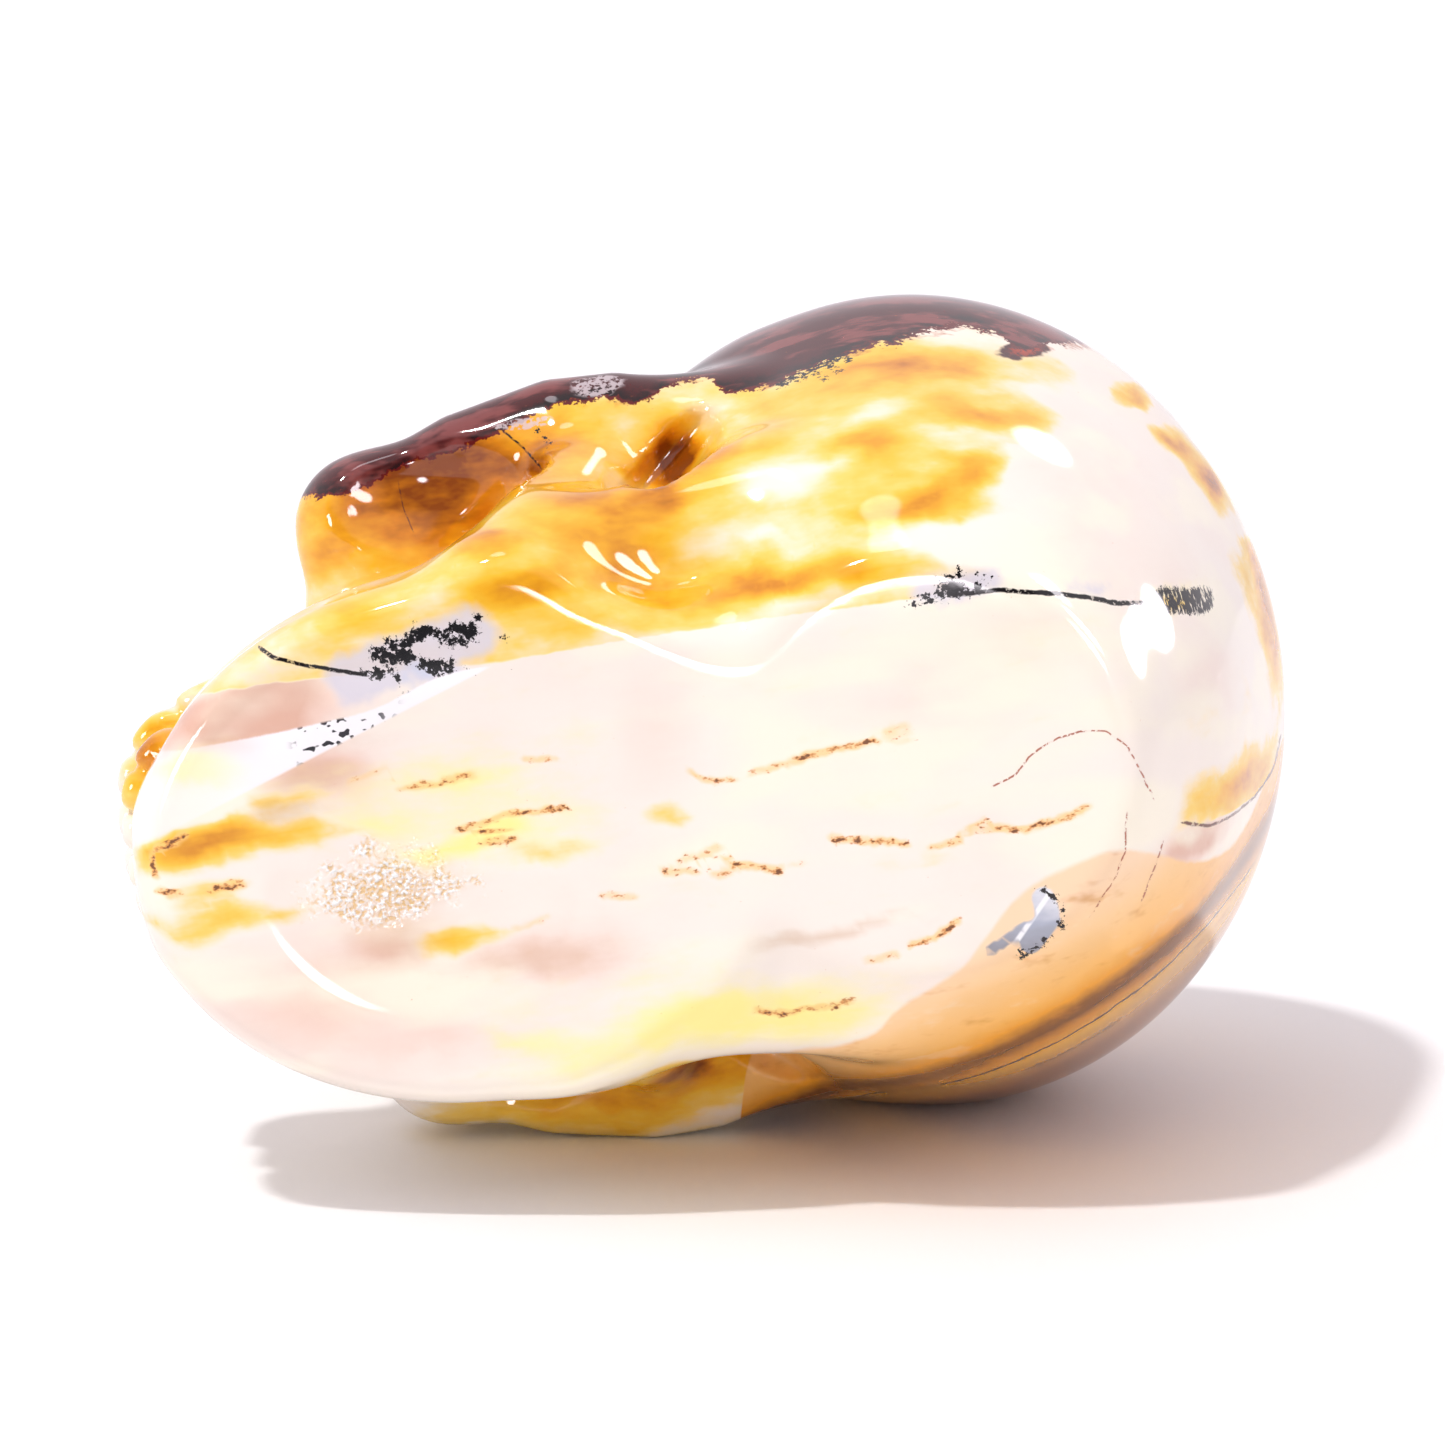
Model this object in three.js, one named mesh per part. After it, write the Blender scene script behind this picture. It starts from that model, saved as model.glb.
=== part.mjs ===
// A polished skull carved from one piece of mookaite jasper, lying on its right side.
// The stone is shaped standing up, as a carver draws it: x runs from the face to the back of
// the head, y to the skull's right, z up from the ground base. At the end it is laid down.
// Lengths are millimetres.
import * as THREE from 'three';

// Bulges, each an egg with its middle and its three half lengths.
const BRAINCASE = { at: [17.7, 0, 45.5], half: [32.2, 36.1, 31.6] };
const FOREHEAD = { at: [-8, 0, 45.5], half: [28, 27.5, 27] };
const OCCIPUT = { at: [17.2, 0.8, 21], half: [26, 28, 24.9] };
const BASE_DISC = { at: [17.6, 1.2, 8], half: [20.1, 20.4, 14] };
const MIDFACE = { at: [-23, 0, 33], half: [15, 19, 19] };
const UPPER_JAW = { at: [-28.5, 0, 20], half: [20.4, 13.4, 14] };
const LOWER_JAW = { at: [-19.5, 2, 8], half: [28.3, 22.1, 10.2] };
const JAW_PLATE = { at: [-19.7, 2, 4.6], half: [27.9, 21.7, 12] };
const NECK = { at: [1.5, -6, 6], half: [8, 8.5, 6.3] };

// Ridges, each a run of points with a radius: x, y, z, radius. The skull has one on either side.
const BROW = [[-33, 3, 51, 4.6], [-31, 15.4, 52, 4.2], [-25, 23.6, 46, 3.8]];
const OUTER_RIM = [[-25, 23.6, 46, 3.6], [-27.5, 22.8, 31, 5]];
const CHEEKBONE = [[-28.5, 17, 30, 4.6], [-27, 23.2, 30, 5.2]];
const CHEEK_ARCH = [[-26.6, 23.2, 30, 4.9], [-18, 26.7, 30.6, 4.9], [-10, 28.5, 31.2, 4.8],
  [-5, 28.5, 31.8, 4.6], [5, 26.5, 33, 4.2]];
const NOSE_BRIDGE = [[-33.5, 0, 48, 3.6], [-38.5, 0, 38, 3]];
const RAMUS = [[-14, 17.2, 5.6, 5.4], [-8, 24.5, 28, 4.6]];

// Ridges that only one side has, with the sign of y kept.
const CHIN = [[-42, -2.2, 6, 4.8], [-42, 5.8, 6, 4.8]];
const SADDLE_LEFT = [[-9, -18.5, 10.5, 5], [7, -20, 15.5, 6]];
const SADDLE_RIGHT = [[-8, 16.5, 8, 6], [10, 17.5, 9.5, 7]];

// Hollows. Turn is in degrees about the upright axis.
const TEMPLE = { at: [-17, 41, 46], half: [17, 12.5, 14] };
const CHEEK_POCKET = { at: [-21, 26.5, 20.5], half: [10.8, 8, 6.8], turn: -12 };
const RAMUS_SLOT = { at: [0.8, 26.8, 18.6], half: [2.7, 7.4, 10], turn: -47 };
const EYE_SOCKET = { at: [-35, 14.2, 41.2], half: [13, 9.2, 9], turn: 18 };
const NOSTRIL = { at: [-43, 2.8, 29.8], half: [9, 3, 4.2] };
const NOSE_TOP = { at: [-40.5, 0, 34.6], half: [9, 2.3, 6.4] };
const JAW_DISH = { at: [-23.8, 2, -4.8], half: [22, 21.5, 6] };

// Teeth stand on a squared arch. Edge is the height of a row's middle, half its half height.
const TEETH = { centre: -27, length: 23.6, width: 13.8, squareness: 3, pitch: 0.27, reach: 4 };
const UPPER_TEETH = { inset: 0, middle: 21.6, half: 4, root: 1 };
const LOWER_TEETH = { inset: 1.2, middle: 13.6, half: 3.4, root: -1 };
const TOOTH = { gap: 1.1, gapPower: 4, bite: 0.5, bitePower: 3, taper: 0.5, taperFrom: 0.2, edge: 1.2 };

// How softly one form runs into the next.
const SOFT = { forehead: 14, occiput: 12, disc: 1.5, temple: 9, muzzle: 6, face: 8, brow: 6, bend: 3,
  nose: 5, cheek: 4, arch: 3, plate: 1, ramus: 5, jaw: 3, saddle: 4, neck: 3, teeth: 0.8, pocket: 0.8,
  slot: 0.5, socket: 2.5, nostril: 1.2, noseTop: 3, base: 0.8, dish: 0.3, foot: 0.3 };

// How the skull lies: its midline slopes, it leans back a little, and it is turned on the floor.
const LIE_SLOPE = 8.35;
const LIE_LEAN = -4.2;
const LIE_TURN = -1.7;
// Two small polished spots, on the cheek arch and the side of the head, are ground to one plane.
const REST_PLANE = 36.2;

// The facets: grid spacings [start, spacing] along each axis, finer where the face is.
const SPAN_X = [[-53.6, 1.8], [-30, 2.6], [-13.4, 3.2], [8, 4.4], [40, 3.8]];
const SPAN_Y = [[-39, 2.9], [-16, 2.1], [16, 2.9]];
const SPAN_Z = [[-3.3, 2.2], [10.4, 2], [28, 2.6], [52, 4.3]];
const END = { x: 53, y: 39, z: 80 };
const SETTLE_ROUNDS = 6;
const RELAX = 0.35;
const SLOPE_STEP = 0.02;
const FLAT_SNAP = 0.12;
const STONE_COLOUR = '#e3b27c';

const RADIANS = Math.PI / 180;

const blend = (a, b, soft) => {
  const h = Math.max(soft - Math.abs(a - b), 0) / soft;
  return Math.min(a, b) - h * h * soft * 0.25;
};
const carve = (stone, hollow, soft) => -blend(-stone, hollow, soft);
const trim = (stone, beyond, soft) => -blend(-stone, -beyond, soft);

function egg(x, y, z, { at, half, turn = 0 }) {
  let dx = x - at[0];
  let dy = y - at[1];
  const dz = z - at[2];
  if (turn !== 0) {
    const c = Math.cos(turn * RADIANS);
    const s = Math.sin(turn * RADIANS);
    [dx, dy] = [dx * c + dy * s, dy * c - dx * s];
  }
  const [a, b, c] = half;
  const k0 = Math.hypot(dx / a, dy / b, dz / c);
  const k1 = Math.hypot(dx / (a * a), dy / (b * b), dz / (c * c));
  return (k0 * (k0 - 1)) / Math.max(k1, 1e-9);
}

function rod(x, y, z, a, b) {
  const ux = b[0] - a[0];
  const uy = b[1] - a[1];
  const uz = b[2] - a[2];
  const along = ((x - a[0]) * ux + (y - a[1]) * uy + (z - a[2]) * uz) / (ux * ux + uy * uy + uz * uz);
  const t = Math.min(Math.max(along, 0), 1);
  return Math.hypot(x - a[0] - t * ux, y - a[1] - t * uy, z - a[2] - t * uz) - (a[3] + (b[3] - a[3]) * t);
}

// One row of teeth: a squared arch with a groove at every gap and a dip in the biting edge.
function teeth(x, y, z, { inset, middle, half, root }) {
  const n = TEETH.squareness;
  const ex = Math.max(TEETH.centre - x, 0);
  const a = TEETH.length - inset;
  const b = TEETH.width - inset;
  const u = ex / a + 1e-6;
  const v = y / b + 1e-6;
  const sum = u ** n + v ** n;
  const scale = sum ** (1 / n - 1);
  const wall = (sum ** (1 / n) - 1) / Math.hypot((u ** (n - 1) / a) * scale, (v ** (n - 1) / b) * scale);
  const count = Math.atan2(y / b, ex / a) / TEETH.pitch;
  const nearGap = Math.abs(count - Math.floor(count) - 0.5) * 2;
  const toRoot = Math.min(Math.max(((z - middle) * root - half * TOOTH.taperFrom) / half, 0), 2);
  const front = wall + TOOTH.gap * nearGap ** TOOTH.gapPower + TOOTH.taper * toRoot ** 2;
  const ends = Math.abs(z - middle) - half + TOOTH.bite * nearGap ** TOOTH.bitePower;
  return Math.max(trim(front, ends, TOOTH.edge), x - TEETH.centre - TEETH.reach);
}

// The lying pose, as a rotation of the standing skull.
const lay = new THREE.Matrix4().makeRotationX(-90 * RADIANS)
  .premultiply(new THREE.Matrix4().makeRotationY(-LIE_SLOPE * RADIANS))
  .premultiply(new THREE.Matrix4().makeRotationX(LIE_LEAN * RADIANS))
  .premultiply(new THREE.Matrix4().makeRotationZ(LIE_TURN * RADIANS));
const down = new THREE.Vector3(0, 0, -1).transformDirection(lay.clone().invert());

// Distance from a point to the stone's surface, negative inside. The form of the carved skull.
function skull(x, yRight, z) {
  const y = Math.abs(yRight);

  let stone = egg(x, y, z, BRAINCASE);
  stone = blend(stone, egg(x, y, z, FOREHEAD), SOFT.forehead);
  stone = blend(stone, egg(x, yRight, z, OCCIPUT), SOFT.occiput);
  stone = blend(stone, egg(x, yRight, z, BASE_DISC), SOFT.disc);
  stone = carve(stone, egg(x, y, z, TEMPLE), SOFT.temple);

  const face = blend(egg(x, y, z, MIDFACE), egg(x, y, z, UPPER_JAW), SOFT.muzzle);
  stone = blend(stone, face, SOFT.face);
  const brow = blend(rod(x, y, z, BROW[0], BROW[1]), rod(x, y, z, BROW[1], BROW[2]), SOFT.bend);
  stone = blend(stone, brow, SOFT.brow);
  stone = blend(stone, rod(x, y, z, ...NOSE_BRIDGE), SOFT.nose);

  let arch = Infinity;
  for (let i = 1; i < CHEEK_ARCH.length; i += 1) {
    arch = Math.min(arch, rod(x, y, z, CHEEK_ARCH[i - 1], CHEEK_ARCH[i]));
  }
  const rim = blend(rod(x, y, z, ...OUTER_RIM), rod(x, y, z, ...CHEEKBONE), SOFT.cheek);
  stone = blend(stone, blend(rim, arch, SOFT.arch), SOFT.cheek);

  let jaw = blend(egg(x, yRight, z, LOWER_JAW), rod(x, yRight, z, ...CHIN), SOFT.bend);
  jaw = blend(jaw, egg(x, yRight, z, JAW_PLATE), SOFT.plate);
  jaw = blend(jaw, rod(x, y, z, ...RAMUS), SOFT.ramus);
  stone = blend(stone, jaw, SOFT.jaw);
  stone = blend(stone, rod(x, yRight, z, ...SADDLE_LEFT), SOFT.saddle);
  stone = blend(stone, rod(x, yRight, z, ...SADDLE_RIGHT), SOFT.saddle);
  stone = blend(stone, egg(x, yRight, z, NECK), SOFT.neck);
  stone = blend(stone, teeth(x, y, z, UPPER_TEETH), SOFT.teeth);
  stone = blend(stone, teeth(x, y, z, LOWER_TEETH), SOFT.teeth);

  stone = carve(stone, egg(x, y, z, CHEEK_POCKET), SOFT.pocket);
  stone = carve(stone, egg(x, y, z, RAMUS_SLOT), SOFT.slot);
  stone = carve(stone, egg(x, y, z, EYE_SOCKET), SOFT.socket);
  const nose = blend(egg(x, y, z, NOSTRIL), egg(x, y, z, NOSE_TOP), SOFT.noseTop);
  stone = carve(stone, nose, SOFT.nostril);

  stone = trim(stone, -z, SOFT.base);
  stone = carve(stone, egg(x, yRight, z, JAW_DISH), SOFT.dish);
  return trim(stone, x * down.x + yRight * down.y + z * down.z - REST_PLANE, SOFT.foot);
}

function lines(spans, end) {
  const at = [];
  for (let i = 0; i < spans.length; i += 1) {
    const [start, spacing] = spans[i];
    const stop = i + 1 < spans.length ? spans[i + 1][0] : end;
    const count = Math.round((stop - start) / spacing);
    for (let k = 0; k < count; k += 1) at.push(start + ((stop - start) * k) / count);
  }
  at.push(end);
  return at;
}

// Wraps the form in facets: one point in each grid cell that the surface crosses, and one
// four-sided facet across each grid edge that it crosses.
function wrap() {
  const xs = lines(SPAN_X, END.x);
  const ys = lines(SPAN_Y, END.y);
  const zs = lines(SPAN_Z, END.z);
  const [nx, ny, nz] = [xs.length, ys.length, zs.length];
  const node = (i, j, k) => (i * ny + j) * nz + k;
  const value = new Float64Array(nx * ny * nz);
  for (let i = 0; i < nx; i += 1) {
    for (let j = 0; j < ny; j += 1) {
      for (let k = 0; k < nz; k += 1) value[node(i, j, k)] = skull(xs[i], ys[j], zs[k]);
    }
  }
  const corners = [[0, 0, 0], [1, 0, 0], [0, 1, 0], [1, 1, 0], [0, 0, 1], [1, 0, 1], [0, 1, 1], [1, 1, 1]];
  const edges = [[0, 1], [2, 3], [4, 5], [6, 7], [0, 2], [1, 3], [4, 6], [5, 7], [0, 4], [1, 5], [2, 6], [3, 7]];
  const pointOf = new Int32Array(nx * ny * nz).fill(-1);
  const points = [];
  for (let i = 0; i + 1 < nx; i += 1) {
    for (let j = 0; j + 1 < ny; j += 1) {
      for (let k = 0; k + 1 < nz; k += 1) {
        const sum = new THREE.Vector3();
        let crossings = 0;
        for (const [p, q] of edges) {
          const a = corners[p];
          const b = corners[q];
          const va = value[node(i + a[0], j + a[1], k + a[2])];
          const vb = value[node(i + b[0], j + b[1], k + b[2])];
          if (va < 0 === vb < 0) continue;
          const start = new THREE.Vector3(xs[i + a[0]], ys[j + a[1]], zs[k + a[2]]);
          const stop = new THREE.Vector3(xs[i + b[0]], ys[j + b[1]], zs[k + b[2]]);
          sum.add(start.lerp(stop, va / (va - vb)));
          crossings += 1;
        }
        if (crossings > 0) {
          pointOf[node(i, j, k)] = points.length;
          points.push(sum.divideScalar(crossings));
        }
      }
    }
  }
  const quads = [];
  const step = [node(1, 0, 0), node(0, 1, 0), node(0, 0, 1)];
  for (let i = 1; i + 1 < nx; i += 1) {
    for (let j = 1; j + 1 < ny; j += 1) {
      for (let k = 1; k + 1 < nz; k += 1) {
        const here = node(i, j, k);
        for (let axis = 0; axis < 3; axis += 1) {
          const inside = value[here] < 0;
          if (inside === value[here + step[axis]] < 0) continue;
          const u = step[(axis + 1) % 3];
          const v = step[(axis + 2) % 3];
          const ring = [here - u - v, here - v, here, here - u].map((n) => pointOf[n]);
          quads.push(inside ? ring : ring.reverse());
        }
      }
    }
  }
  return { points, quads };
}

function slope(p, out) {
  const h = SLOPE_STEP;
  out.set(
    skull(p.x + h, p.y, p.z) - skull(p.x - h, p.y, p.z),
    skull(p.x, p.y + h, p.z) - skull(p.x, p.y - h, p.z),
    skull(p.x, p.y, p.z + h) - skull(p.x, p.y, p.z - h),
  );
  return out.divideScalar(2 * h);
}

// Evens out the points along the surface and brings each one down onto it.
function settle(points, quads) {
  const near = points.map(() => new Set());
  for (const ring of quads) {
    ring.forEach((p, i) => near[p].add(ring[(i + 1) % ring.length]).add(ring[(i + 3) % ring.length]));
  }
  const normal = new THREE.Vector3();
  for (let round = 0; round < SETTLE_ROUNDS; round += 1) {
    const relax = round + 2 < SETTLE_ROUNDS ? RELAX : 0;
    const moved = points.map((p, i) => {
      const middle = new THREE.Vector3();
      near[i].forEach((n) => middle.add(points[n]));
      return p.clone().lerp(middle.divideScalar(near[i].size), relax);
    });
    points.forEach((p, i) => {
      p.copy(moved[i]);
      slope(p, normal);
      p.addScaledVector(normal, -skull(p.x, p.y, p.z) / Math.max(normal.lengthSq(), 0.25));
    });
  }
  for (const p of points) {
    if (p.z < FLAT_SNAP) p.z = 0;
    const past = p.dot(down) - REST_PLANE;
    if (past > -FLAT_SNAP) p.addScaledVector(down, -past);
  }
}

function stoneGeometry() {
  const { points, quads } = wrap();
  settle(points, quads);
  const index = [];
  for (const [a, b, c, d] of quads) {
    if (points[a].distanceTo(points[c]) < points[b].distanceTo(points[d])) index.push(a, b, c, a, c, d);
    else index.push(a, b, d, b, c, d);
  }
  const geometry = new THREE.BufferGeometry().setFromPoints(points);
  geometry.setIndex(index);
  geometry.applyMatrix4(lay);
  geometry.computeBoundingBox();
  const middle = geometry.boundingBox.getCenter(new THREE.Vector3());
  geometry.translate(-middle.x, -middle.y, REST_PLANE);
  geometry.computeVertexNormals();
  return geometry;
}

const stone = new THREE.Mesh(
  stoneGeometry(),
  new THREE.MeshStandardMaterial({ color: STONE_COLOUR, roughness: 0.12, metalness: 0 }),
);
stone.name = 'skull';

const part = new THREE.Group();
part.add(stone);

export default part;
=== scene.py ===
# %% [markdown]
# # A polished skull of banded jasper
# The real object is one stone, about 100 mm long, carved and polished in the shape of a skull.
# It lies on its right side, so we look at the ground base under its jaw and the back of its head.
# This lesson first loads the engineering model, which fixes the size, then makes a finer stone
# of the same form, paints the stone's own bands and dendrites, and lights it like a studio shot.

# %% Load the fixed frame
import math

import bpy
from mathutils import Matrix, Vector


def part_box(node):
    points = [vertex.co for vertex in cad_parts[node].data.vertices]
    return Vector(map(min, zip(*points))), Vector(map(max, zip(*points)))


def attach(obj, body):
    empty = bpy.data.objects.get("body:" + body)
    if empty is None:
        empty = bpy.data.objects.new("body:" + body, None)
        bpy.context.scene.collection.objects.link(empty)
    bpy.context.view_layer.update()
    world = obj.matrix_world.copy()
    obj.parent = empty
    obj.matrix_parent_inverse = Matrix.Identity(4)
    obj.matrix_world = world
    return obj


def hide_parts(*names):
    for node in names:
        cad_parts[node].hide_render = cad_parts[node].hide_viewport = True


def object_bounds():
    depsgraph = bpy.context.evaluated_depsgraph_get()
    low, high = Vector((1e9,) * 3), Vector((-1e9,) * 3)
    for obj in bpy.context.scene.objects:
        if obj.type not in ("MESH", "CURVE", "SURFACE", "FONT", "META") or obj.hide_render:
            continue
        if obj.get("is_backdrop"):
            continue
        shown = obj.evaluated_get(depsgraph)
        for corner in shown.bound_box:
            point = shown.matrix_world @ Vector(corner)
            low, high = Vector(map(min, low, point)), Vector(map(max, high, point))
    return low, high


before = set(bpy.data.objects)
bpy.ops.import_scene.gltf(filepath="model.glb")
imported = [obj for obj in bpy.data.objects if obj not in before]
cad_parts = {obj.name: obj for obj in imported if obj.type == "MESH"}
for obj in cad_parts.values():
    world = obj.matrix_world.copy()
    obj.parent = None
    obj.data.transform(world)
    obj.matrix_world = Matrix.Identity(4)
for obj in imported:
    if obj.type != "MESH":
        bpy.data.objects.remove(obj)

cad_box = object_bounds()
cad_low, cad_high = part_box("skull")
print("engineering model, mm:", [round(side * 1000, 1) for side in cad_high - cad_low])

# %% [markdown]
# ## Sums that turn into nodes
# Blender's nodes can hold any formula, but a long one is hard to read as a list of nodes and
# links. A small class helps: it wraps a socket, and each plus, minus or times adds a Math node.
# The same class serves Geometry Nodes and materials, because both use the same Math nodes.

# %% A socket that can be added, multiplied and compared
class Flow:
    """A value on its way through a node tree."""

    def __init__(self, socket):
        self.socket = socket

    def __add__(self, other):
        return calc("ADD", self, other)

    def __radd__(self, other):
        return calc("ADD", other, self)

    def __sub__(self, other):
        return calc("SUBTRACT", self, other)

    def __rsub__(self, other):
        return calc("SUBTRACT", other, self)

    def __mul__(self, other):
        return calc("MULTIPLY", self, other)

    def __rmul__(self, other):
        return calc("MULTIPLY", other, self)

    def __truediv__(self, other):
        return calc("DIVIDE", self, other)

    def __rtruediv__(self, other):
        return calc("DIVIDE", other, self)

    def __neg__(self):
        return calc("MULTIPLY", self, -1.0)


def tree_of(values):
    return next(v.socket.id_data for v in values if isinstance(v, Flow))


def feed(socket, value):
    if isinstance(value, Flow):
        value.socket.id_data.links.new(value.socket, socket)
    elif value is not None:
        socket.default_value = value


def calc(operation, *values):
    """One Math node."""
    node = tree_of(values).nodes.new("ShaderNodeMath")
    node.operation = operation
    for socket, value in zip(node.inputs, values):
        feed(socket, value)
    return Flow(node.outputs[0])


def aim(operation, *values):
    """One Vector Math node. Length, distance and dot product come out as a plain number."""
    node = tree_of(values).nodes.new("ShaderNodeVectorMath")
    node.operation = operation
    sockets = [node.inputs[0], node.inputs["Scale"]] if operation == "SCALE" else node.inputs
    for socket, value in zip(sockets, values):
        feed(socket, value)
    return Flow(node.outputs["Value" if operation in ("LENGTH", "DISTANCE", "DOT_PRODUCT") else "Vector"])


def parts(flow):
    """The x, y and z of a vector."""
    node = tree_of([flow]).nodes.new("ShaderNodeSeparateXYZ")
    feed(node.inputs[0], flow)
    return [Flow(out) for out in node.outputs]


def pack(tree, x, y, z):
    """A vector from three numbers."""
    node = tree.nodes.new("ShaderNodeCombineXYZ")
    for socket, value in zip(node.inputs, (x, y, z)):
        feed(socket, value)
    return Flow(node.outputs[0])


SOCKETS = {"number": "NodeSocketFloat", "vector": "NodeSocketVector", "colour": "NodeSocketColor",
           "geometry": "NodeSocketGeometry", "material": "NodeSocketMaterial"}


def new_group(name, kind, inputs, outputs):
    """A node group with named sockets. Gives the group, its inputs as flows, and its last node."""
    group = bpy.data.node_groups.new(name, kind)
    for label, socket_kind, value in inputs:
        socket = group.interface.new_socket(label, in_out="INPUT", socket_type=SOCKETS[socket_kind])
        if value is not None:
            socket.default_value = value
    for label, socket_kind in outputs:
        group.interface.new_socket(label, in_out="OUTPUT", socket_type=SOCKETS[socket_kind])
    start = group.nodes.new("NodeGroupInput")
    end = group.nodes.new("NodeGroupOutput")
    return group, {out.name: Flow(out) for out in start.outputs if out.name}, end


def use_all(tree, group, **values):
    """Puts a group into a tree. Underscores in a value's name stand for spaces."""
    shader = tree.bl_idname == "ShaderNodeTree"
    node = tree.nodes.new("ShaderNodeGroup" if shader else "GeometryNodeGroup")
    node.node_tree = group
    for label, value in values.items():
        feed(node.inputs[label.replace("_", " ").capitalize()], value)
    return [Flow(out) for out in node.outputs]


def use(tree, group, **values):
    return use_all(tree, group, **values)[0]


print("helpers ready")

# %% [markdown]
# ## The forms that a carver starts from
# Every part of a skull can be roughed out with two simple bodies: an egg, for the braincase, the
# jaw and the hollows, and a rod, for the brow, the cheek arch and the bridge of the nose. Instead
# of meshes we use distances: each group says how far a point is from the body, below zero inside.
# Distances join softly, as clay does, which a Boolean of meshes can't do.

# %% Groups for an egg, a rod and a soft join
SHAPE = "GeometryNodeTree"

egg_group, given, end = new_group("egg", SHAPE, [
    ("Point", "vector", None), ("Middle", "vector", None), ("Half", "vector", (1, 1, 1)),
    ("Turn", "number", 0.0)], [("Distance", "number")])
turned = egg_group.nodes.new("ShaderNodeVectorRotate")
turned.rotation_type = "Z_AXIS"
feed(turned.inputs["Vector"], aim("SUBTRACT", given["Point"], given["Middle"]))
feed(turned.inputs["Angle"], -given["Turn"])
in_halves = aim("DIVIDE", Flow(turned.outputs[0]), given["Half"])
reach = aim("LENGTH", in_halves)
steepness = aim("LENGTH", aim("DIVIDE", in_halves, given["Half"]))
feed(end.inputs[0], reach * (reach - 1.0) / calc("MAXIMUM", steepness, 1e-9))

rod_group, given, end = new_group("rod", SHAPE, [
    ("Point", "vector", None), ("First", "vector", None), ("Last", "vector", (0, 0, 1)),
    ("First radius", "number", 1.0), ("Last radius", "number", 1.0)], [("Distance", "number")])
run = aim("SUBTRACT", given["Last"], given["First"])
from_first = aim("SUBTRACT", given["Point"], given["First"])
share = aim("DOT_PRODUCT", from_first, run) / aim("DOT_PRODUCT", run, run)
share = calc("MINIMUM", calc("MAXIMUM", share, 0.0), 1.0)
radius = given["First radius"] + (given["Last radius"] - given["First radius"]) * share
feed(end.inputs[0], aim("LENGTH", aim("SUBTRACT", from_first, aim("SCALE", run, share))) - radius)

join_group, given, end = new_group("soft join", SHAPE, [
    ("A", "number", 0.0), ("B", "number", 0.0), ("Soft", "number", 1.0)], [("Distance", "number")])
near = calc("MAXIMUM", given["Soft"] - calc("ABSOLUTE", given["A"] - given["B"]), 0.0) / given["Soft"]
feed(end.inputs[0], calc("MINIMUM", given["A"], given["B"]) - near * near * given["Soft"] * 0.25)
print("groups:", [group.name for group in bpy.data.node_groups])


# %% [markdown]
# ## Short words for eggs, rods and joins
# A group that stands in a tree is a long line of code, and a skull needs forty of them. These short
# words read like a carver's: put an egg here, blend it in, carve it out, trim what lies beyond.

# %% Short words for the groups
def egg(point, at, half, turn=0.0):
    return use(tree_of([point]), egg_group, point=point, middle=at, half=half, turn=math.radians(turn))


def rod(point, first, last):
    return use(tree_of([point]), rod_group, point=point, first=first[:3], last=last[:3],
               first_radius=first[3], last_radius=last[3])


def blend(a, b, soft):
    return use(tree_of([a, b]), join_group, a=a, b=b, soft=soft)


def carve(stone, hollow, soft):
    return -blend(-stone, hollow, soft)


def trim(stone, beyond, soft):
    return -blend(-stone, -beyond, soft)


print("words ready")

# %% [markdown]
# ## Two rows of teeth
# The carver cut the teeth as upright grooves round a squared arch, not one by one. The rule is
# short: a wall that follows a rounded box in plan, with a groove wherever the angle round the
# arch passes a gap, and a dip in the biting edge there too. One group serves both rows.

# %% The row of teeth as a rule
ARCH_CENTRE = -27.0
ARCH_LENGTH = 23.6
ARCH_WIDTH = 13.8
SQUARENESS = 3.0
TOOTH_PITCH = 0.27
ROW_REACH = 4.0
GAP_POWER = 4.0
BITE = 0.5
BITE_POWER = 3.0
TAPER = 0.5
TAPER_FROM = 0.2
TOOTH_EDGE = 1.2

teeth_group, given, end = new_group("row of teeth", SHAPE, [
    ("Point", "vector", None), ("Inset", "number", 0.0), ("Middle", "number", 0.0),
    ("Half", "number", 4.0), ("Root", "number", 1.0), ("Gap", "number", 1.1)], [("Distance", "number")])
x, y, z = parts(given["Point"])
ahead = calc("MAXIMUM", ARCH_CENTRE - x, 0.0)
length = ARCH_LENGTH - given["Inset"]
width = ARCH_WIDTH - given["Inset"]
u = ahead / length + 1e-6
v = y / width + 1e-6
total = calc("POWER", u, SQUARENESS) + calc("POWER", v, SQUARENESS)
scale = calc("POWER", total, 1 / SQUARENESS - 1)
slope_u = calc("POWER", u, SQUARENESS - 1) / length * scale
slope_v = calc("POWER", v, SQUARENESS - 1) / width * scale
steepness = calc("SQRT", slope_u * slope_u + slope_v * slope_v)
wall = (calc("POWER", total, 1 / SQUARENESS) - 1.0) / steepness
count = calc("ARCTAN2", y / width, ahead / length) / TOOTH_PITCH
near_gap = calc("ABSOLUTE", count - calc("FLOOR", count) - 0.5) * 2.0
to_root = ((z - given["Middle"]) * given["Root"] - given["Half"] * TAPER_FROM) / given["Half"]
to_root = calc("MINIMUM", calc("MAXIMUM", to_root, 0.0), 2.0)
front = wall + given["Gap"] * calc("POWER", near_gap, GAP_POWER) + TAPER * to_root * to_root
ends = calc("ABSOLUTE", z - given["Middle"]) - given["Half"] + BITE * calc("POWER", near_gap, BITE_POWER)
row = trim(front, ends, TOOTH_EDGE)
feed(end.inputs[0], calc("MAXIMUM", row, x - ARCH_CENTRE - ROW_REACH))
print("nodes in a row of teeth:", len(teeth_group.nodes))

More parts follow.
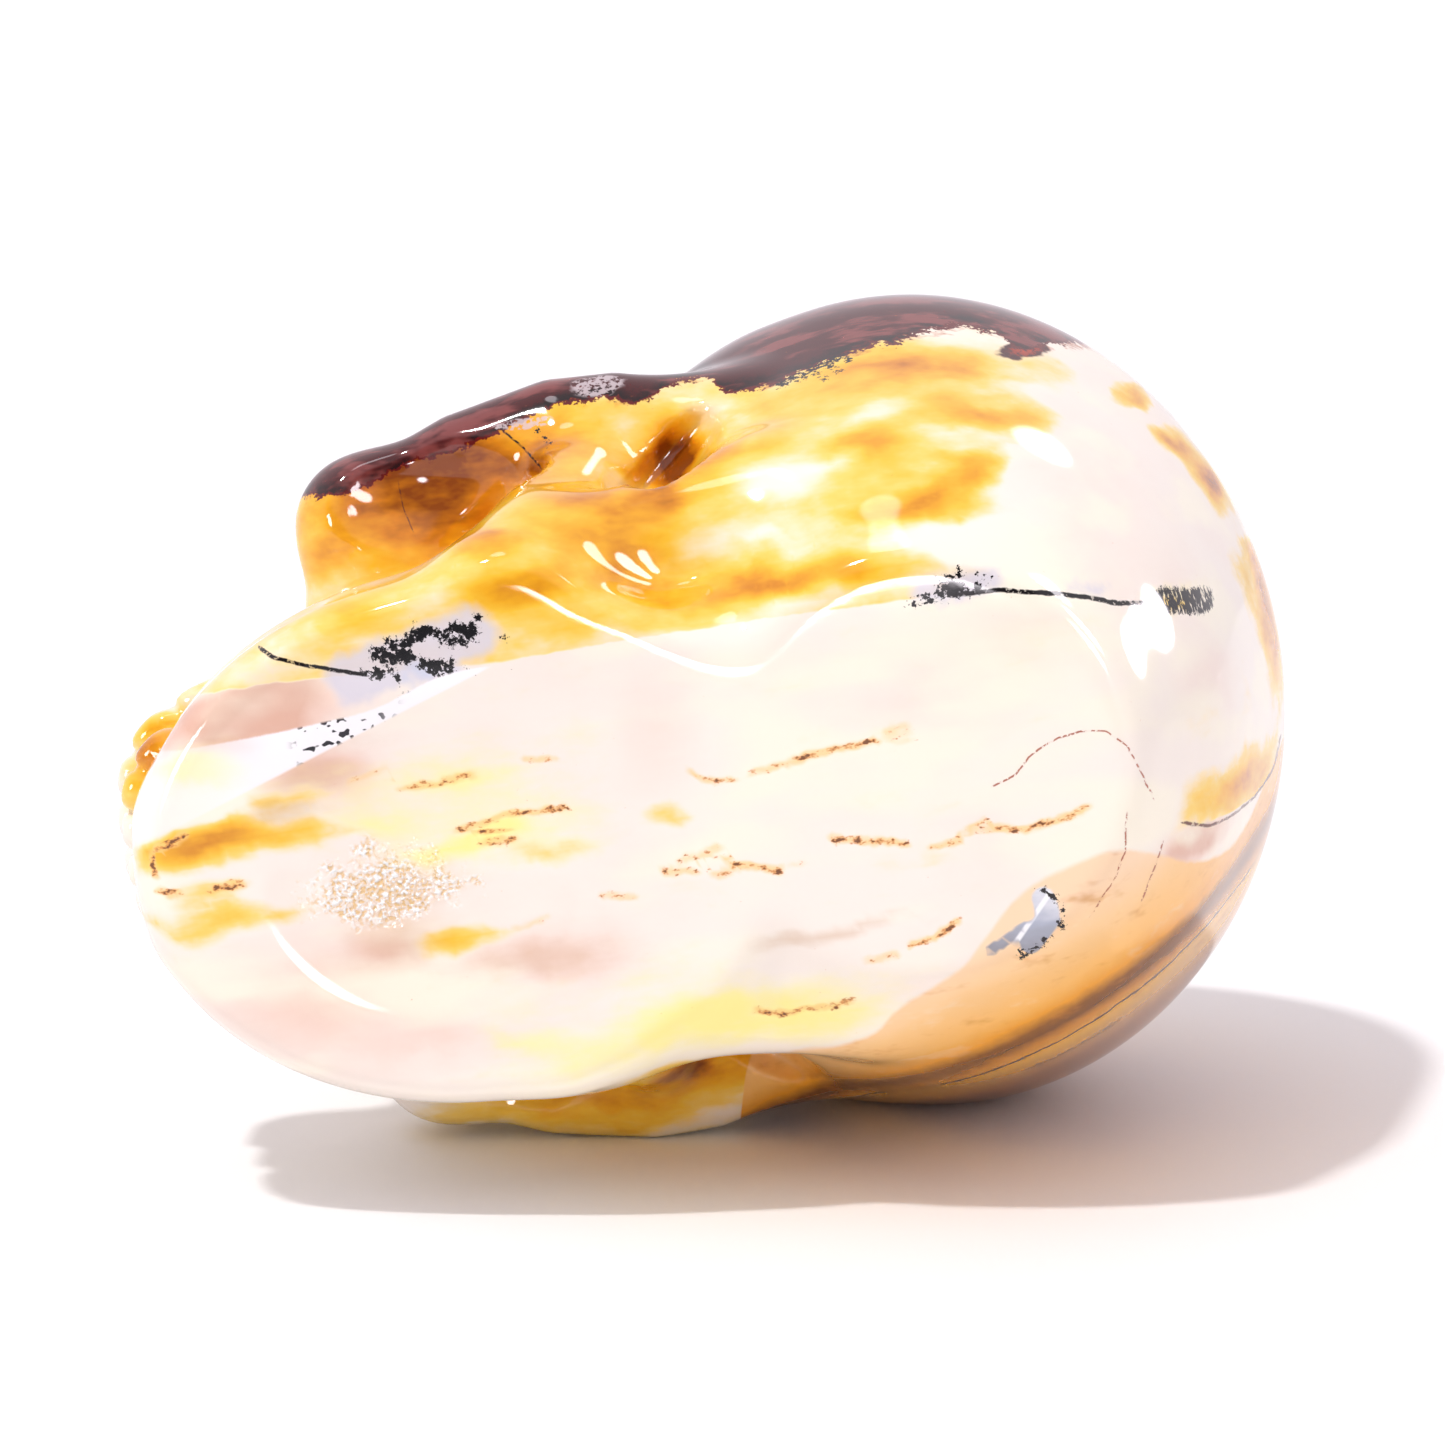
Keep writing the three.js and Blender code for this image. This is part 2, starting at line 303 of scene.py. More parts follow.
# %% [markdown]
# ## The whole skull as one distance
# The skull is drawn standing, in millimetres: x runs from the face to the back of the head, y to
# its right and z up from the ground base. Most forms are mirrored by taking y without its sign.
# The lower jaw and the back of the head keep theirs, because on the real stone they sit a little
# to one side. The last two cuts are the ground base and the spot that the skull lies on.

# %% The pose in which the skull lies
SLOPE = 8.35
LEAN = -4.2
TURN = -1.7
REST_PLANE = 36.2
LAID_MIDDLE = Vector((-0.6724, -37.5837, REST_PLANE))
lay = (Matrix.Rotation(math.radians(TURN), 4, "Z") @ Matrix.Rotation(math.radians(LEAN), 4, "X")
       @ Matrix.Rotation(math.radians(-SLOPE), 4, "Y") @ Matrix.Rotation(math.radians(-90), 4, "X"))
down = lay.inverted().to_3x3() @ Vector((0, 0, -1))
print("down, seen by the standing skull:", [round(c, 4) for c in down])

# %% [markdown]
# ## Forms in the order of carving
# Large forms come first: the braincase, then the face, the brow, the cheek arches and the jaw, then
# the teeth. Hollows are carved from what is there: under the cheek arch, the eyes and the nose.
# Each line ends in how softly it joins, in millimetres: 14 for the temples, 0.3 for a ground edge.

# %% Add up the forms
form_group, given, end = new_group("skull form", SHAPE, [
    ("Point", "vector", None), ("Tooth gap", "number", 1.1), ("Rest plane", "number", REST_PLANE)],
    [("Distance", "number")])
point = given["Point"]
x, y, z = parts(point)
both = pack(form_group, x, calc("ABSOLUTE", y), z)

# braincase, forehead, and the swelling low on the back of the head
stone = egg(both, (17.7, 0, 45.5), (32.2, 36.1, 31.6))
stone = blend(stone, egg(both, (-8, 0, 45.5), (28, 27.5, 27)), 14.0)
stone = blend(stone, egg(point, (17.2, 0.8, 21), (26, 28, 24.9)), 12.0)
# the round seat that the ground disc is cut from, and the hollow temples
stone = blend(stone, egg(point, (17.6, 1.2, 8), (20.1, 20.4, 14)), 1.5)
stone = carve(stone, egg(both, (-17, 41, 46), (17, 12.5, 14)), 9.0)

# face, brow and nose bridge
face = blend(egg(both, (-23, 0, 33), (15, 19, 19)), egg(both, (-28.5, 0, 20), (20.4, 13.4, 14)), 6.0)
stone = blend(stone, face, 8.0)
brow_points = [(-33, 3, 51, 4.6), (-31, 15.4, 52, 4.2), (-25, 23.6, 46, 3.8)]
brow = blend(rod(both, brow_points[0], brow_points[1]), rod(both, brow_points[1], brow_points[2]), 3.0)
stone = blend(stone, brow, 6.0)
stone = blend(stone, rod(both, (-33.5, 0, 48, 3.6), (-38.5, 0, 38, 3)), 5.0)

# cheek arch, and the eye socket's outer rim
arch_points = [(-26.6, 23.2, 30, 4.9), (-18, 26.7, 30.6, 4.9), (-10, 28.5, 31.2, 4.8),
               (-5, 28.5, 31.8, 4.6), (5, 26.5, 33, 4.2)]
arch = rod(both, arch_points[0], arch_points[1])
for first, last in zip(arch_points[1:], arch_points[2:]):
    arch = calc("MINIMUM", arch, rod(both, first, last))
rim = blend(rod(both, (-25, 23.6, 46, 3.6), (-27.5, 22.8, 31, 5)),
            rod(both, (-28.5, 17, 30, 4.6), (-27, 23.2, 30, 5.2)), 4.0)
stone = blend(stone, blend(rim, arch, 3.0), 4.0)

# lower jaw, its upright branches, and the ridges behind it
chin = rod(point, (-42, -2.2, 6, 4.8), (-42, 5.8, 6, 4.8))
jaw = blend(egg(point, (-19.5, 2, 8), (28.3, 22.1, 10.2)), chin, 3.0)
jaw = blend(jaw, egg(point, (-19.7, 2, 4.6), (27.9, 21.7, 12)), 1.0)
jaw = blend(jaw, rod(both, (-14, 17.2, 5.6, 5.4), (-8, 24.5, 28, 4.6)), 5.0)
stone = blend(stone, jaw, 3.0)
stone = blend(stone, rod(point, (-9, -18.5, 10.5, 5), (7, -20, 15.5, 6)), 4.0)
stone = blend(stone, rod(point, (-8, 16.5, 8, 6), (10, 17.5, 9.5, 7)), 4.0)
stone = blend(stone, egg(point, (1.5, -6, 6), (8, 8.5, 6.3)), 3.0)
# upper and lower teeth
for inset, middle, half, root in [(0.0, 21.6, 4.0, 1.0), (1.2, 13.6, 3.4, -1.0)]:
    row = use(form_group, teeth_group, point=both, inset=inset, middle=middle, half=half, root=root,
              gap=given["Tooth gap"])
    stone = blend(stone, row, 0.8)

# hollows: under the cheek arch, behind it, the eyes and the nose
stone = carve(stone, egg(both, (-21, 26.5, 20.5), (10.8, 8, 6.8), -12), 0.8)
stone = carve(stone, egg(both, (0.8, 26.8, 18.6), (2.7, 7.4, 10), -47), 0.5)
stone = carve(stone, egg(both, (-35, 14.2, 41.2), (13, 9.2, 9), 18), 2.5)
nose = blend(egg(both, (-43, 2.8, 29.8), (9, 3, 4.2)), egg(both, (-40.5, 0, 34.6), (9, 2.3, 6.4)), 3.0)
stone = carve(stone, nose, 1.2)

# the ground base, the dish in it, and the spot that the skull lies on
stone = trim(stone, -z, 0.8)
stone = carve(stone, egg(point, (-23.8, 2, -4.8), (22, 21.5, 6)), 0.3)
stone = trim(stone, aim("DOT_PRODUCT", point, tuple(down)) - given["Rest plane"], 0.3)
feed(end.inputs[0], stone)
print("nodes in the skull's form:", len(form_group.nodes))

# %% [markdown]
# ## From a distance to a surface
# Volume Cube fills a box with the form's distance, and Volume to Mesh wraps the place where it
# passes zero. That skin is a little bumpy, which a polish would show, so each point then slides
# along the steepest way down onto the true surface, and the points even out between two pulls.

# %% A group that pulls points onto the form
SLOPE_STEP = 0.03
pull_group, given, end = new_group("pull onto form", SHAPE, [
    ("Geometry", "geometry", None), ("Evening", "number", 0.5), ("Tooth gap", "number", 1.1),
    ("Rest plane", "number", REST_PLANE)], [("Geometry", "geometry")])
where = Flow(pull_group.nodes.new("GeometryNodeInputPosition").outputs[0])
evened = pull_group.nodes.new("GeometryNodeBlurAttribute")
evened.data_type = "FLOAT_VECTOR"
feed(next(s for s in evened.inputs if s.name == "Value" and s.enabled), where)
feed(evened.inputs["Weight"], given["Evening"])
spread = pull_group.nodes.new("GeometryNodeSetPosition")
feed(spread.inputs["Geometry"], given["Geometry"])
feed(spread.inputs["Position"], Flow(next(s for s in evened.outputs if s.enabled)))

values = []
uphill = None
for corner in [(1, -1, -1), (-1, -1, 1), (-1, 1, -1), (1, 1, 1)]:
    offset = tuple(SLOPE_STEP * c for c in corner)
    value = use(pull_group, form_group, point=aim("ADD", where, offset), tooth_gap=given["Tooth gap"],
                rest_plane=given["Rest plane"])
    pushed = aim("SCALE", pack(pull_group, *corner), value / (4 * SLOPE_STEP))
    uphill = pushed if uphill is None else aim("ADD", uphill, pushed)
    values.append(value)
height = (values[0] + values[1] + values[2] + values[3]) * 0.25
steep = calc("MAXIMUM", aim("DOT_PRODUCT", uphill, uphill), 0.05)
pulled = pull_group.nodes.new("GeometryNodeSetPosition")
feed(pulled.inputs["Geometry"], Flow(spread.outputs[0]))
feed(pulled.inputs["Offset"], aim("SCALE", uphill, -height / steep))
feed(end.inputs[0], Flow(pulled.outputs[0]))
print("nodes in the pull:", len(pull_group.nodes))

# %% [markdown]
# ## Words for patterns
# Colour in a stone follows fields: how far a place is from a spot, which lumps a noise makes, how
# high a bed runs. The same few words serve the mesh's own attributes and, later, the material.

# %% Soft steps, noise and profiles
def fade(value, start, stop):
    """0 at start and 1 at stop, with soft ends."""
    node = tree_of([value]).nodes.new("ShaderNodeMapRange")
    node.interpolation_type = "SMOOTHSTEP"
    feed(node.inputs["Value"], value)
    node.inputs["From Min"].default_value = start
    node.inputs["From Max"].default_value = stop
    return Flow(node.outputs["Result"])


def noise(point, size, detail, rough, seed):
    """A noise node whose lumps are about that many millimetres across."""
    node = tree_of([point]).nodes.new("ShaderNodeTexNoise")
    feed(node.inputs["Vector"], aim("ADD", point, (31.0 * seed, 17.0 * seed, 7.0 * seed)))
    node.inputs["Scale"].default_value = 1 / size
    node.inputs["Detail"].default_value = detail
    node.inputs["Roughness"].default_value = rough
    return node


def cloud(point, size, detail=2.0, rough=0.5, seed=0):
    return Flow(noise(point, size, detail, rough, seed).outputs[0])


def drift(point, size, amount, seed):
    """Moves a point a little, each place in its own direction."""
    shifts = Flow(noise(point, size, 2.0, 0.5, seed).outputs["Color"])
    return aim("ADD", point, aim("SCALE", aim("SUBTRACT", shifts, (0.5, 0.5, 0.5)), amount))


def most(*values):
    best = values[0]
    for value in values[1:]:
        best = calc("MAXIMUM", best, value)
    return best


def profile(along, points, low=-50.0, high=50.0):
    """A height that follows given points (place, height), both in millimetres."""
    node = tree_of([along]).nodes.new("ShaderNodeFloatCurve")
    node.mapping.extend = "HORIZONTAL"
    curve = node.mapping.curves[0]
    places = [((place + 50) / 100, (height - low) / (high - low)) for place, height in points]
    curve.points[0].location = places[0]
    curve.points[-1].location = places[-1]
    for place in places[1:-1]:
        curve.points.new(*place)
    node.mapping.update()
    feed(node.inputs["Value"], (along + 50.0) * 0.01)
    return Flow(node.outputs[0]) * (high - low) + low


print("pattern words ready")

# %% [markdown]
# ## Golden stain, lemon and pink
# Iron stained the stone golden, in clouds drawn out along its beds. A noise alone would put them
# anywhere, so each cloud that the photograph shows is an egg-shaped patch: it raises the chance of
# gold where it lies, or lowers it. All points drift first, which frays the patches' edges.

# %% A patch as a node group
patch_group, given, end = new_group("patch", SHAPE, [
    ("Point", "vector", None), ("Middle", "vector", None), ("Half", "vector", (1, 1, 1)),
    ("Strength", "number", 1.0)], [("Amount", "number")])
away = aim("LENGTH", aim("DIVIDE", aim("SUBTRACT", given["Point"], given["Middle"]), given["Half"]))
feed(end.inputs[0], fade(away, 1.5, 0.1) * given["Strength"])


def patches(point, spots):
    """Adds up patches given as middle, half sizes and strength."""
    total = 0.0
    for middle, half, strength in spots:
        total = use(tree_of([point]), patch_group, point=point, middle=middle, half=half,
                    strength=strength) + total
    return total


# %% [markdown]
# ## Where gold lies
# The patches are given in the standing skull's millimetres, where the photograph shows more
# or less gold. They are few and soft, so the noise still draws each cloud's own outline.

# %% Clouds above the bed line
GOLD_ABOVE = [
    # middle, half sizes, strength
    ((-12.4, -18.5, 1), (5, 2.6, 6), 0.7), ((-23, -17.4, 1), (9, 1.9, 5), 0.6),
    ((-9.8, -14.8, 0), (5, 1.5, 4), 0.3), ((-4, -18, 5), (4, 4, 6), 0.4),
    ((3.9, -15, 3.5), (7, 2.2, 5), 0.6), ((10, -15.2, 2), (5, 1.7, 4), 0.4),
    ((15.2, -15, 0), (5, 1.8, 4), 0.4), ((21.6, -20, 4.9), (5.5, 1.8, 5), 0.7),
    ((17, -20.5, 5), (4, 1.2, 4), 0.3), ((25, -22, 8), (4, 1.4, 4), 0.7),
    ((23.2, -26.3, 15), (4, 1.8, 4), 0.6), ((16.4, -25, 11), (5, 1.5, 4), 0.5),
    ((7.2, -26.8, 15), (7, 2.6, 6), 0.45), ((14, -29, 22), (9, 2.2, 6), 0.3),
    ((22.2, -30.3, 25.3), (8, 1.8, 6), 0.6), ((28.4, -25.5, 18), (5, 1.7, 5), 0.7),
    ((32.7, -28, 30), (5, 1.9, 7), 0.6), ((39.5, -24.8, 37), (6, 1, 6), 1.1),
    ((42.5, -20.7, 36), (3.6, 2.2, 6), 1.4), ((45.6, -16, 38), (3.4, 4, 7), 1.4),
    # Painted shade: the patches near x 0, y -25, here and on the next two lines, darken the slot behind the cheek
    # arch to brown.
    ((-0.6, -25.2, 27), (2.8, 3.4, 7), 1.35), ((0, -24, 12), (5, 4.5, 7), 0.4),
    ((-7, -22, 9), (7, 5, 9), 0.6), ((-22, -28, 24), (17, 9, 15), 1.12), ((2, -27, 18), (4, 5, 8), 0.45),
    ((-1, -24, 16), (3, 3, 6), 0.4), ((-15.5, -22, 4), (4, 1.8, 6), 0.7),
    ((-21, -17.6, 0), (4, 1.5, 4), -0.45), ((25, -16.4, 1), (7, 1.7, 4), -0.8),
    ((40, -18, 20), (8, 6, 12), -0.8), ((30.5, -20, 10), (5, 3, 6), -0.5),
    ((31, -14, 5), (7, 3, 6), -0.7), ((10, -23.2, 9), (4, 1.6, 4), -0.3),
    ((-29, -22.6, 6), (4, 3, 8), -0.5),
]
ABOVE_SHARE = 0.5
print("patches above the bed line:", len(GOLD_ABOVE))

# %% [markdown]
# ## Fainter colours below the line
# Below the bed line the stone is paler, partly its own colour and partly a painted reflection: a few
# honey clouds at the jaw, lemon along the rows, pink at the ends, and beige painted shade along the
# rims of the dish and the disc. Each list adds up to one number.

# %% Clouds below the bed line, and the honey of the jaw and the lower cheek arch
GOLD_BELOW = [
    # middle, half sizes, strength
    ((-42.6, -0.5, 0), (6.5, 1.8, 8), 1.3), ((-35, 0.2, 0), (4.5, 1.9, 5), 0.75),
    ((-28.5, -0.2, 0), (6, 1.1, 4), 0.55), ((-40, 5.2, 0), (8, 1.8, 7), 0.65),
    ((-40, 2.7, 0), (5, 0.8, 4), 0.5), ((-42.5, 8.6, 0), (4.5, 1.8, 5), 0.3),
    ((-33.8, -3, 0), (4.5, 1.3, 4), 0.5), ((-3, 2.2, 0), (3, 1.7, 4), 0.65),
    ((-22, 9.6, 0), (4.2, 2, 4), 0.8), ((-15.5, 9.4, 0), (5, 1.1, 4), 0.35),
    ((-13, 3.9, 0), (4.5, 1.1, 4), 0.45), ((-29, 3.4, 0), (4.5, 2.2, 4), 0.35),
    ((43.5, 8.2, 21), (8, 3.3, 15), 1.2), ((48.8, -4, 37), (2.6, 8, 9), 1.3),
    ((40.5, -8.6, 13), (5.5, 1, 8), 0.6), ((-46, -8, 12), (7, 7, 9), 1.25),
    ((-12, 27, 27), (20, 6, 17), 1.05), ((-4, 26, 17), (6, 4, 10), 0.8),
    # Painted shade: the patch at x -7.5, y 24.5 browns the folds by the lower cheek arch.
    ((-7.5, 24.5, 7), (5, 2.2, 5), 1.1), ((17, 8.4, 0), (11, 1.6, 4), 0.28),
    ((-21, 22, 20), (9, 4, 8), 0.4),
]
LEMON = [
    ((-40.7, -6.7, 0), (4, 1.6, 4), 0.9), ((-19.5, 1.7, 0), (6.5, 1.2, 4), 0.9),
    ((-13, 3.7, 0), (4.5, 1.1, 4), 0.6), ((-17.6, 18.5, 0), (5, 1.2, 4), 0.5),
    ((-4, 18.6, 0), (7, 1.8, 5), 0.75), ((5.5, 19.8, 3), (10, 2.8, 6), 1),
    ((-28, -0.7, 0), (5, 1, 4), 0.5), ((-12, 21, 2), (9, 2.2, 5), 0.6), ((41, -9, 12), (6, 1.6, 8), 0.6),
    ((15, -2.2, 0), (3, 0.9, 3), 0.3), ((-20, -3.4, 0), (5, 0.7, 3), 0.35),
    ((-26, 7, 0), (5, 1.5, 4), 0.2), ((-20, -1.5, 0), (15, 5.5, 5), 0.55), ((-8, 17, 0), (13, 5, 5), 0.4),
    ((-39, -6, 0), (7, 3, 5), 0.3),
]
PINK = [
    ((-37, -11.6, 0), (9, 3.8, 6), 1.5), ((-31, -5, 0), (5.5, 3, 4), 0.8),
    ((-34, 13, 0), (11, 6, 6), 0.6), ((-22, 18, 0), (10, 3, 5), 0.35), ((-15, 12.2, 0), (8, 3, 4), 0.6),
    ((-3.5, -4.5, 0), (4, 6, 4), 0.3), ((38.6, 11.4, 10), (5, 2.4, 9), 1),
    ((41, -1, 14), (6, 3.4, 9), 0.35), ((20, -6, 0), (9, 5, 4), 0.25), ((3, -22, 9), (5, 2, 5), 0.3),
    ((27, -9, 0), (5, 3, 4), 0.35), ((-26.5, 8.8, 0), (4, 2, 4), 0.5),
]
# Painted shade: beige patches, most of them along the rims of the dish and the disc.
PAINTED_SHADE = [
    ((-33.6, -2, 0), (3.4, 1.5, 4), 0.7), ((-27, 8.8, 0), (6, 2.4, 3), 0.45),
    ((-26.6, 4.4, 0), (6.5, 3, 3), 0.6),
    ((-13.8, 12.2, 0), (9, 2, 3), 0.5), ((8, 13.6, 0), (8, 0.8, 3), 0.7),
    ((-29, -7.5, 0), (6, 1, 3), 0.35),
]
print("patches:", len(GOLD_ABOVE) + len(GOLD_BELOW) + len(LEMON) + len(PINK))

# %% [markdown]
# ## Lines, rows and trees as distances
# The stone's fine marks are thinner than a facet, yet a facet can carry them. The distance from a
# line changes evenly, so it is right between the mesh's points too: the mesh keeps the distance
# as an attribute, and the material draws a hair-thin line where it passes zero. One group gives
# the distance from a stroke, seen straight through the ground base: signed, and at its ends too.

# %% A stroke as a node group
stroke_group, given, end = new_group("stroke", SHAPE, [
    ("Point", "vector", None), ("First", "vector", None), ("Last", "vector", (1, 0, 0))],
    [("Across", "number"), ("Beyond", "number")])
run = aim("SUBTRACT", given["Last"], given["First"])
run_length = aim("LENGTH", run)
out_x, out_y, _ = parts(aim("SUBTRACT", given["Point"], given["First"]))
run_x, run_y, _ = parts(run)
along = (out_x * run_x + out_y * run_y) / run_length
feed(end.inputs[0], (out_x * run_y - out_y * run_x) / run_length)
feed(end.inputs[1], most(-along, along - run_length, 0.0))

# %% [markdown]
# ## From many strokes to one distance
# A crack is a chain of strokes, and a place on the stone belongs to the nearest one. The group takes
# the best distance so far and one more stroke, and passes on whichever is nearer, with its width
# and its redness. A blob does the same for thick strokes, measured from their outline.

# %% Keep the nearest of many strokes
nearer_group, given, end = new_group("nearer stroke", SHAPE, [
    ("Point", "vector", None), ("First", "vector", None), ("Last", "vector", (1, 0, 0)),
    ("Size", "number", 1.0), ("Red", "number", 0.0), ("Gap so far", "number", 99.0),
    ("Across so far", "number", 0.0), ("Size so far", "number", 0.0), ("Red so far", "number", 0.0)],
    [("Gap", "number"), ("Across", "number"), ("Size", "number"), ("Red", "number")])
across, beyond = use_all(nearer_group, stroke_group, point=given["Point"], first=given["First"],
                         last=given["Last"])
gap = calc("SQRT", across * across + beyond * beyond)
closer = calc("LESS_THAN", gap, given["Gap so far"])
size = fade(beyond, 0.7, 0.1) * given["Size"]
feed(end.inputs[0], calc("MINIMUM", gap, given["Gap so far"]))
feed(end.inputs[1], closer * (across - given["Across so far"]) + given["Across so far"])
feed(end.inputs[2], closer * (size - given["Size so far"]) + given["Size so far"])
feed(end.inputs[3], closer * (given["Red"] - given["Red so far"]) + given["Red so far"])

blob_group, given, end = new_group("blob", SHAPE, [
    ("Point", "vector", None), ("First", "vector", None), ("Last", "vector", (1, 0, 0)),
    ("Thick", "number", 0.3), ("Gap so far", "number", 99.0)], [("Gap", "number")])
across, beyond = use_all(blob_group, stroke_group, point=given["Point"], first=given["First"],
                         last=given["Last"])
gap = calc("SQRT", across * across + beyond * beyond) - given["Thick"]
feed(end.inputs[0], calc("MINIMUM", gap, given["Gap so far"]))


def nearest_stroke(point, strokes):
    """The signed distance from the nearest line, its size, 0 past its ends, and its redness."""
    gap, across, size, red = 99.0, 0.0, 0.0, 0.0
    for line, line_size, line_red in strokes:
        for first, last in zip(line, line[1:]):
            gap, across, size, red = use_all(
                tree_of([point]), nearer_group, point=point, first=(*first, 0), last=(*last, 0),
                size=line_size, red=line_red, gap_so_far=gap, across_so_far=across, size_so_far=size,
                red_so_far=red)
    return across, size * fade(gap, 0.95, 0.6), red


def blobs(point, strokes):
    """The distance from the nearest of some thick strokes, below zero inside."""
    gap = 99.0
    for line, thick in strokes:
        for first, last in zip(line, line[1:]):
            gap = use(tree_of([point]), blob_group, point=point, first=(*first, 0), last=(*last, 0),
                      thick=thick, gap_so_far=gap)
    return gap


print("strokes ready")

# %% [markdown]
# ## The marks that the ground base shows
# Rows of rust dots follow the beds. Two dark stems and a few red cracks cross them. They are read
# off the photograph, as x and y on the ground base, and rounded to a tenth.

# %% Where the rows, cracks and stems run
ROWS = [
    # line, strength
    ([(-1.2, -1.2), (-0.2, -0.4), (2.2, -0.2)], 0.9), ([(3.6, -0.5), (6.8, -1)], 0.8),
    ([(7.4, -1.1), (10.2, -1.5), (14, -1.7)], 1), ([(14, -1.9), (15.2, -2.6), (16.6, -2.5)], 0.6),
    ([(14.8, -1.7), (16.6, -1.4)], 0.5), ([(9.2, 5.5), (12.2, 6.3), (15, 6.8)], 1),
    ([(17.2, 7.4), (19.4, 7.3)], 0.9), ([(19.7, 6.8), (22.3, 6.5), (24.4, 7.1)], 1.1),
    ([(24.4, 7.1), (27.3, 6.6), (29.8, 6.1)], 1), ([(20.2, 6.2), (21.4, 6)], 0.8),
    ([(-4.6, 6.3), (-2.2, 6.8)], 0.8), ([(-3.4, 5.7), (0.2, 5.2)], 0.7), ([(-0.8, 7.1), (0.6, 7.2)], 0.7),
    ([(0.8, 6.5), (4.6, 7.5)], 1), ([(5.6, 7.3), (6.8, 7.4)], 0.5), ([(-9.8, 7.5), (-7.2, 8)], 0.7),
    ([(-17.2, 9.3), (-14.6, 8.9)], 0.5), ([(14.4, 15.1), (16.4, 14.6), (18.3, 13.8)], 1.1),
    ([(10.8, 15.9), (13.1, 15.7)], 0.7), ([(1.2, 18.9), (3, 19.6), (6.8, 19.5), (8.8, 19)], 1),
    ([(-24.6, -3.2), (-21.8, -3.2), (-18.8, -3.5)], 0.9), ([(-28.6, -4.3), (-25.8, -4.9)], 0.5),
    ([(-14.3, -4.2), (-12, -3.9)], 0.8), ([(-20.6, 0.8), (-15.9, 0.1), (-12, 0.2)], 1),
    ([(-18.6, 2.3), (-16.2, 2.2)], 1), ([(-44.9, -1.2), (-42.6, -1.8)], 1.3),
    ([(-45.4, -0.5), (-45.4, 1)], 1.2), ([(-45.4, 2.3), (-43.7, 2.9)], 1.1),
    ([(-40.9, 2.65), (-38.5, 2.7)], 1.3),
]
LINES = [
    # line, half width, redness
    ([(-34.2, -15.8), (-33.1, -15.1), (-31.3, -14.4), (-28.8, -13.5), (-26.3, -12.8)], 0.17, 0),
    ([(21.5, -12.4), (25.1, -12.4), (26.9, -12), (28.5, -11.6), (30, -11.3), (32.4, -10.5),
      (34.8, -9.5), (37.9, -8.9)], 0.19, 0),
    ([(22.8, 3.2), (24.4, 2.6), (25.9, 1.2), (27.6, 0.3), (30.2, -0.2), (32.1, 0.1)], 0.08, 0.9),
    ([(32.1, 0.1), (33.6, 1.4), (34.3, 3.2), (35.2, 6)], 0.07, 1),
    ([(32.9, 7.2), (32.4, 10), (31.2, 12.2), (29, 14.9)], 0.07, 1),
    ([(35.6, 10.5), (34.6, 12.6), (33.5, 14.6)], 0.08, 0.9),
    ([(-14.1, -29.6), (-12.5, -27.9), (-11.3, -26.3)], 0.09, 0),
    ([(-23.7, -26.4), (-23.6, -24.2), (-23, -22.4)], 0.06, 0.2),
    ([(37.9, 9.4), (40.1, 10.4), (42.3, 10.5), (44.8, 10.2), (46.6, 9.5), (47.5, 8.6), (48.3, 7)],
     0.14, 0.35),
]
print("rows:", len(ROWS), "lines:", len(LINES))

# %% [markdown]
# ## Black trees as thick strokes
# Each tree is roughed out with its main branches. The material breaks their outline into twigs
# later, so the strokes stay plump here. A comb of bristles ends the right tree's stem.

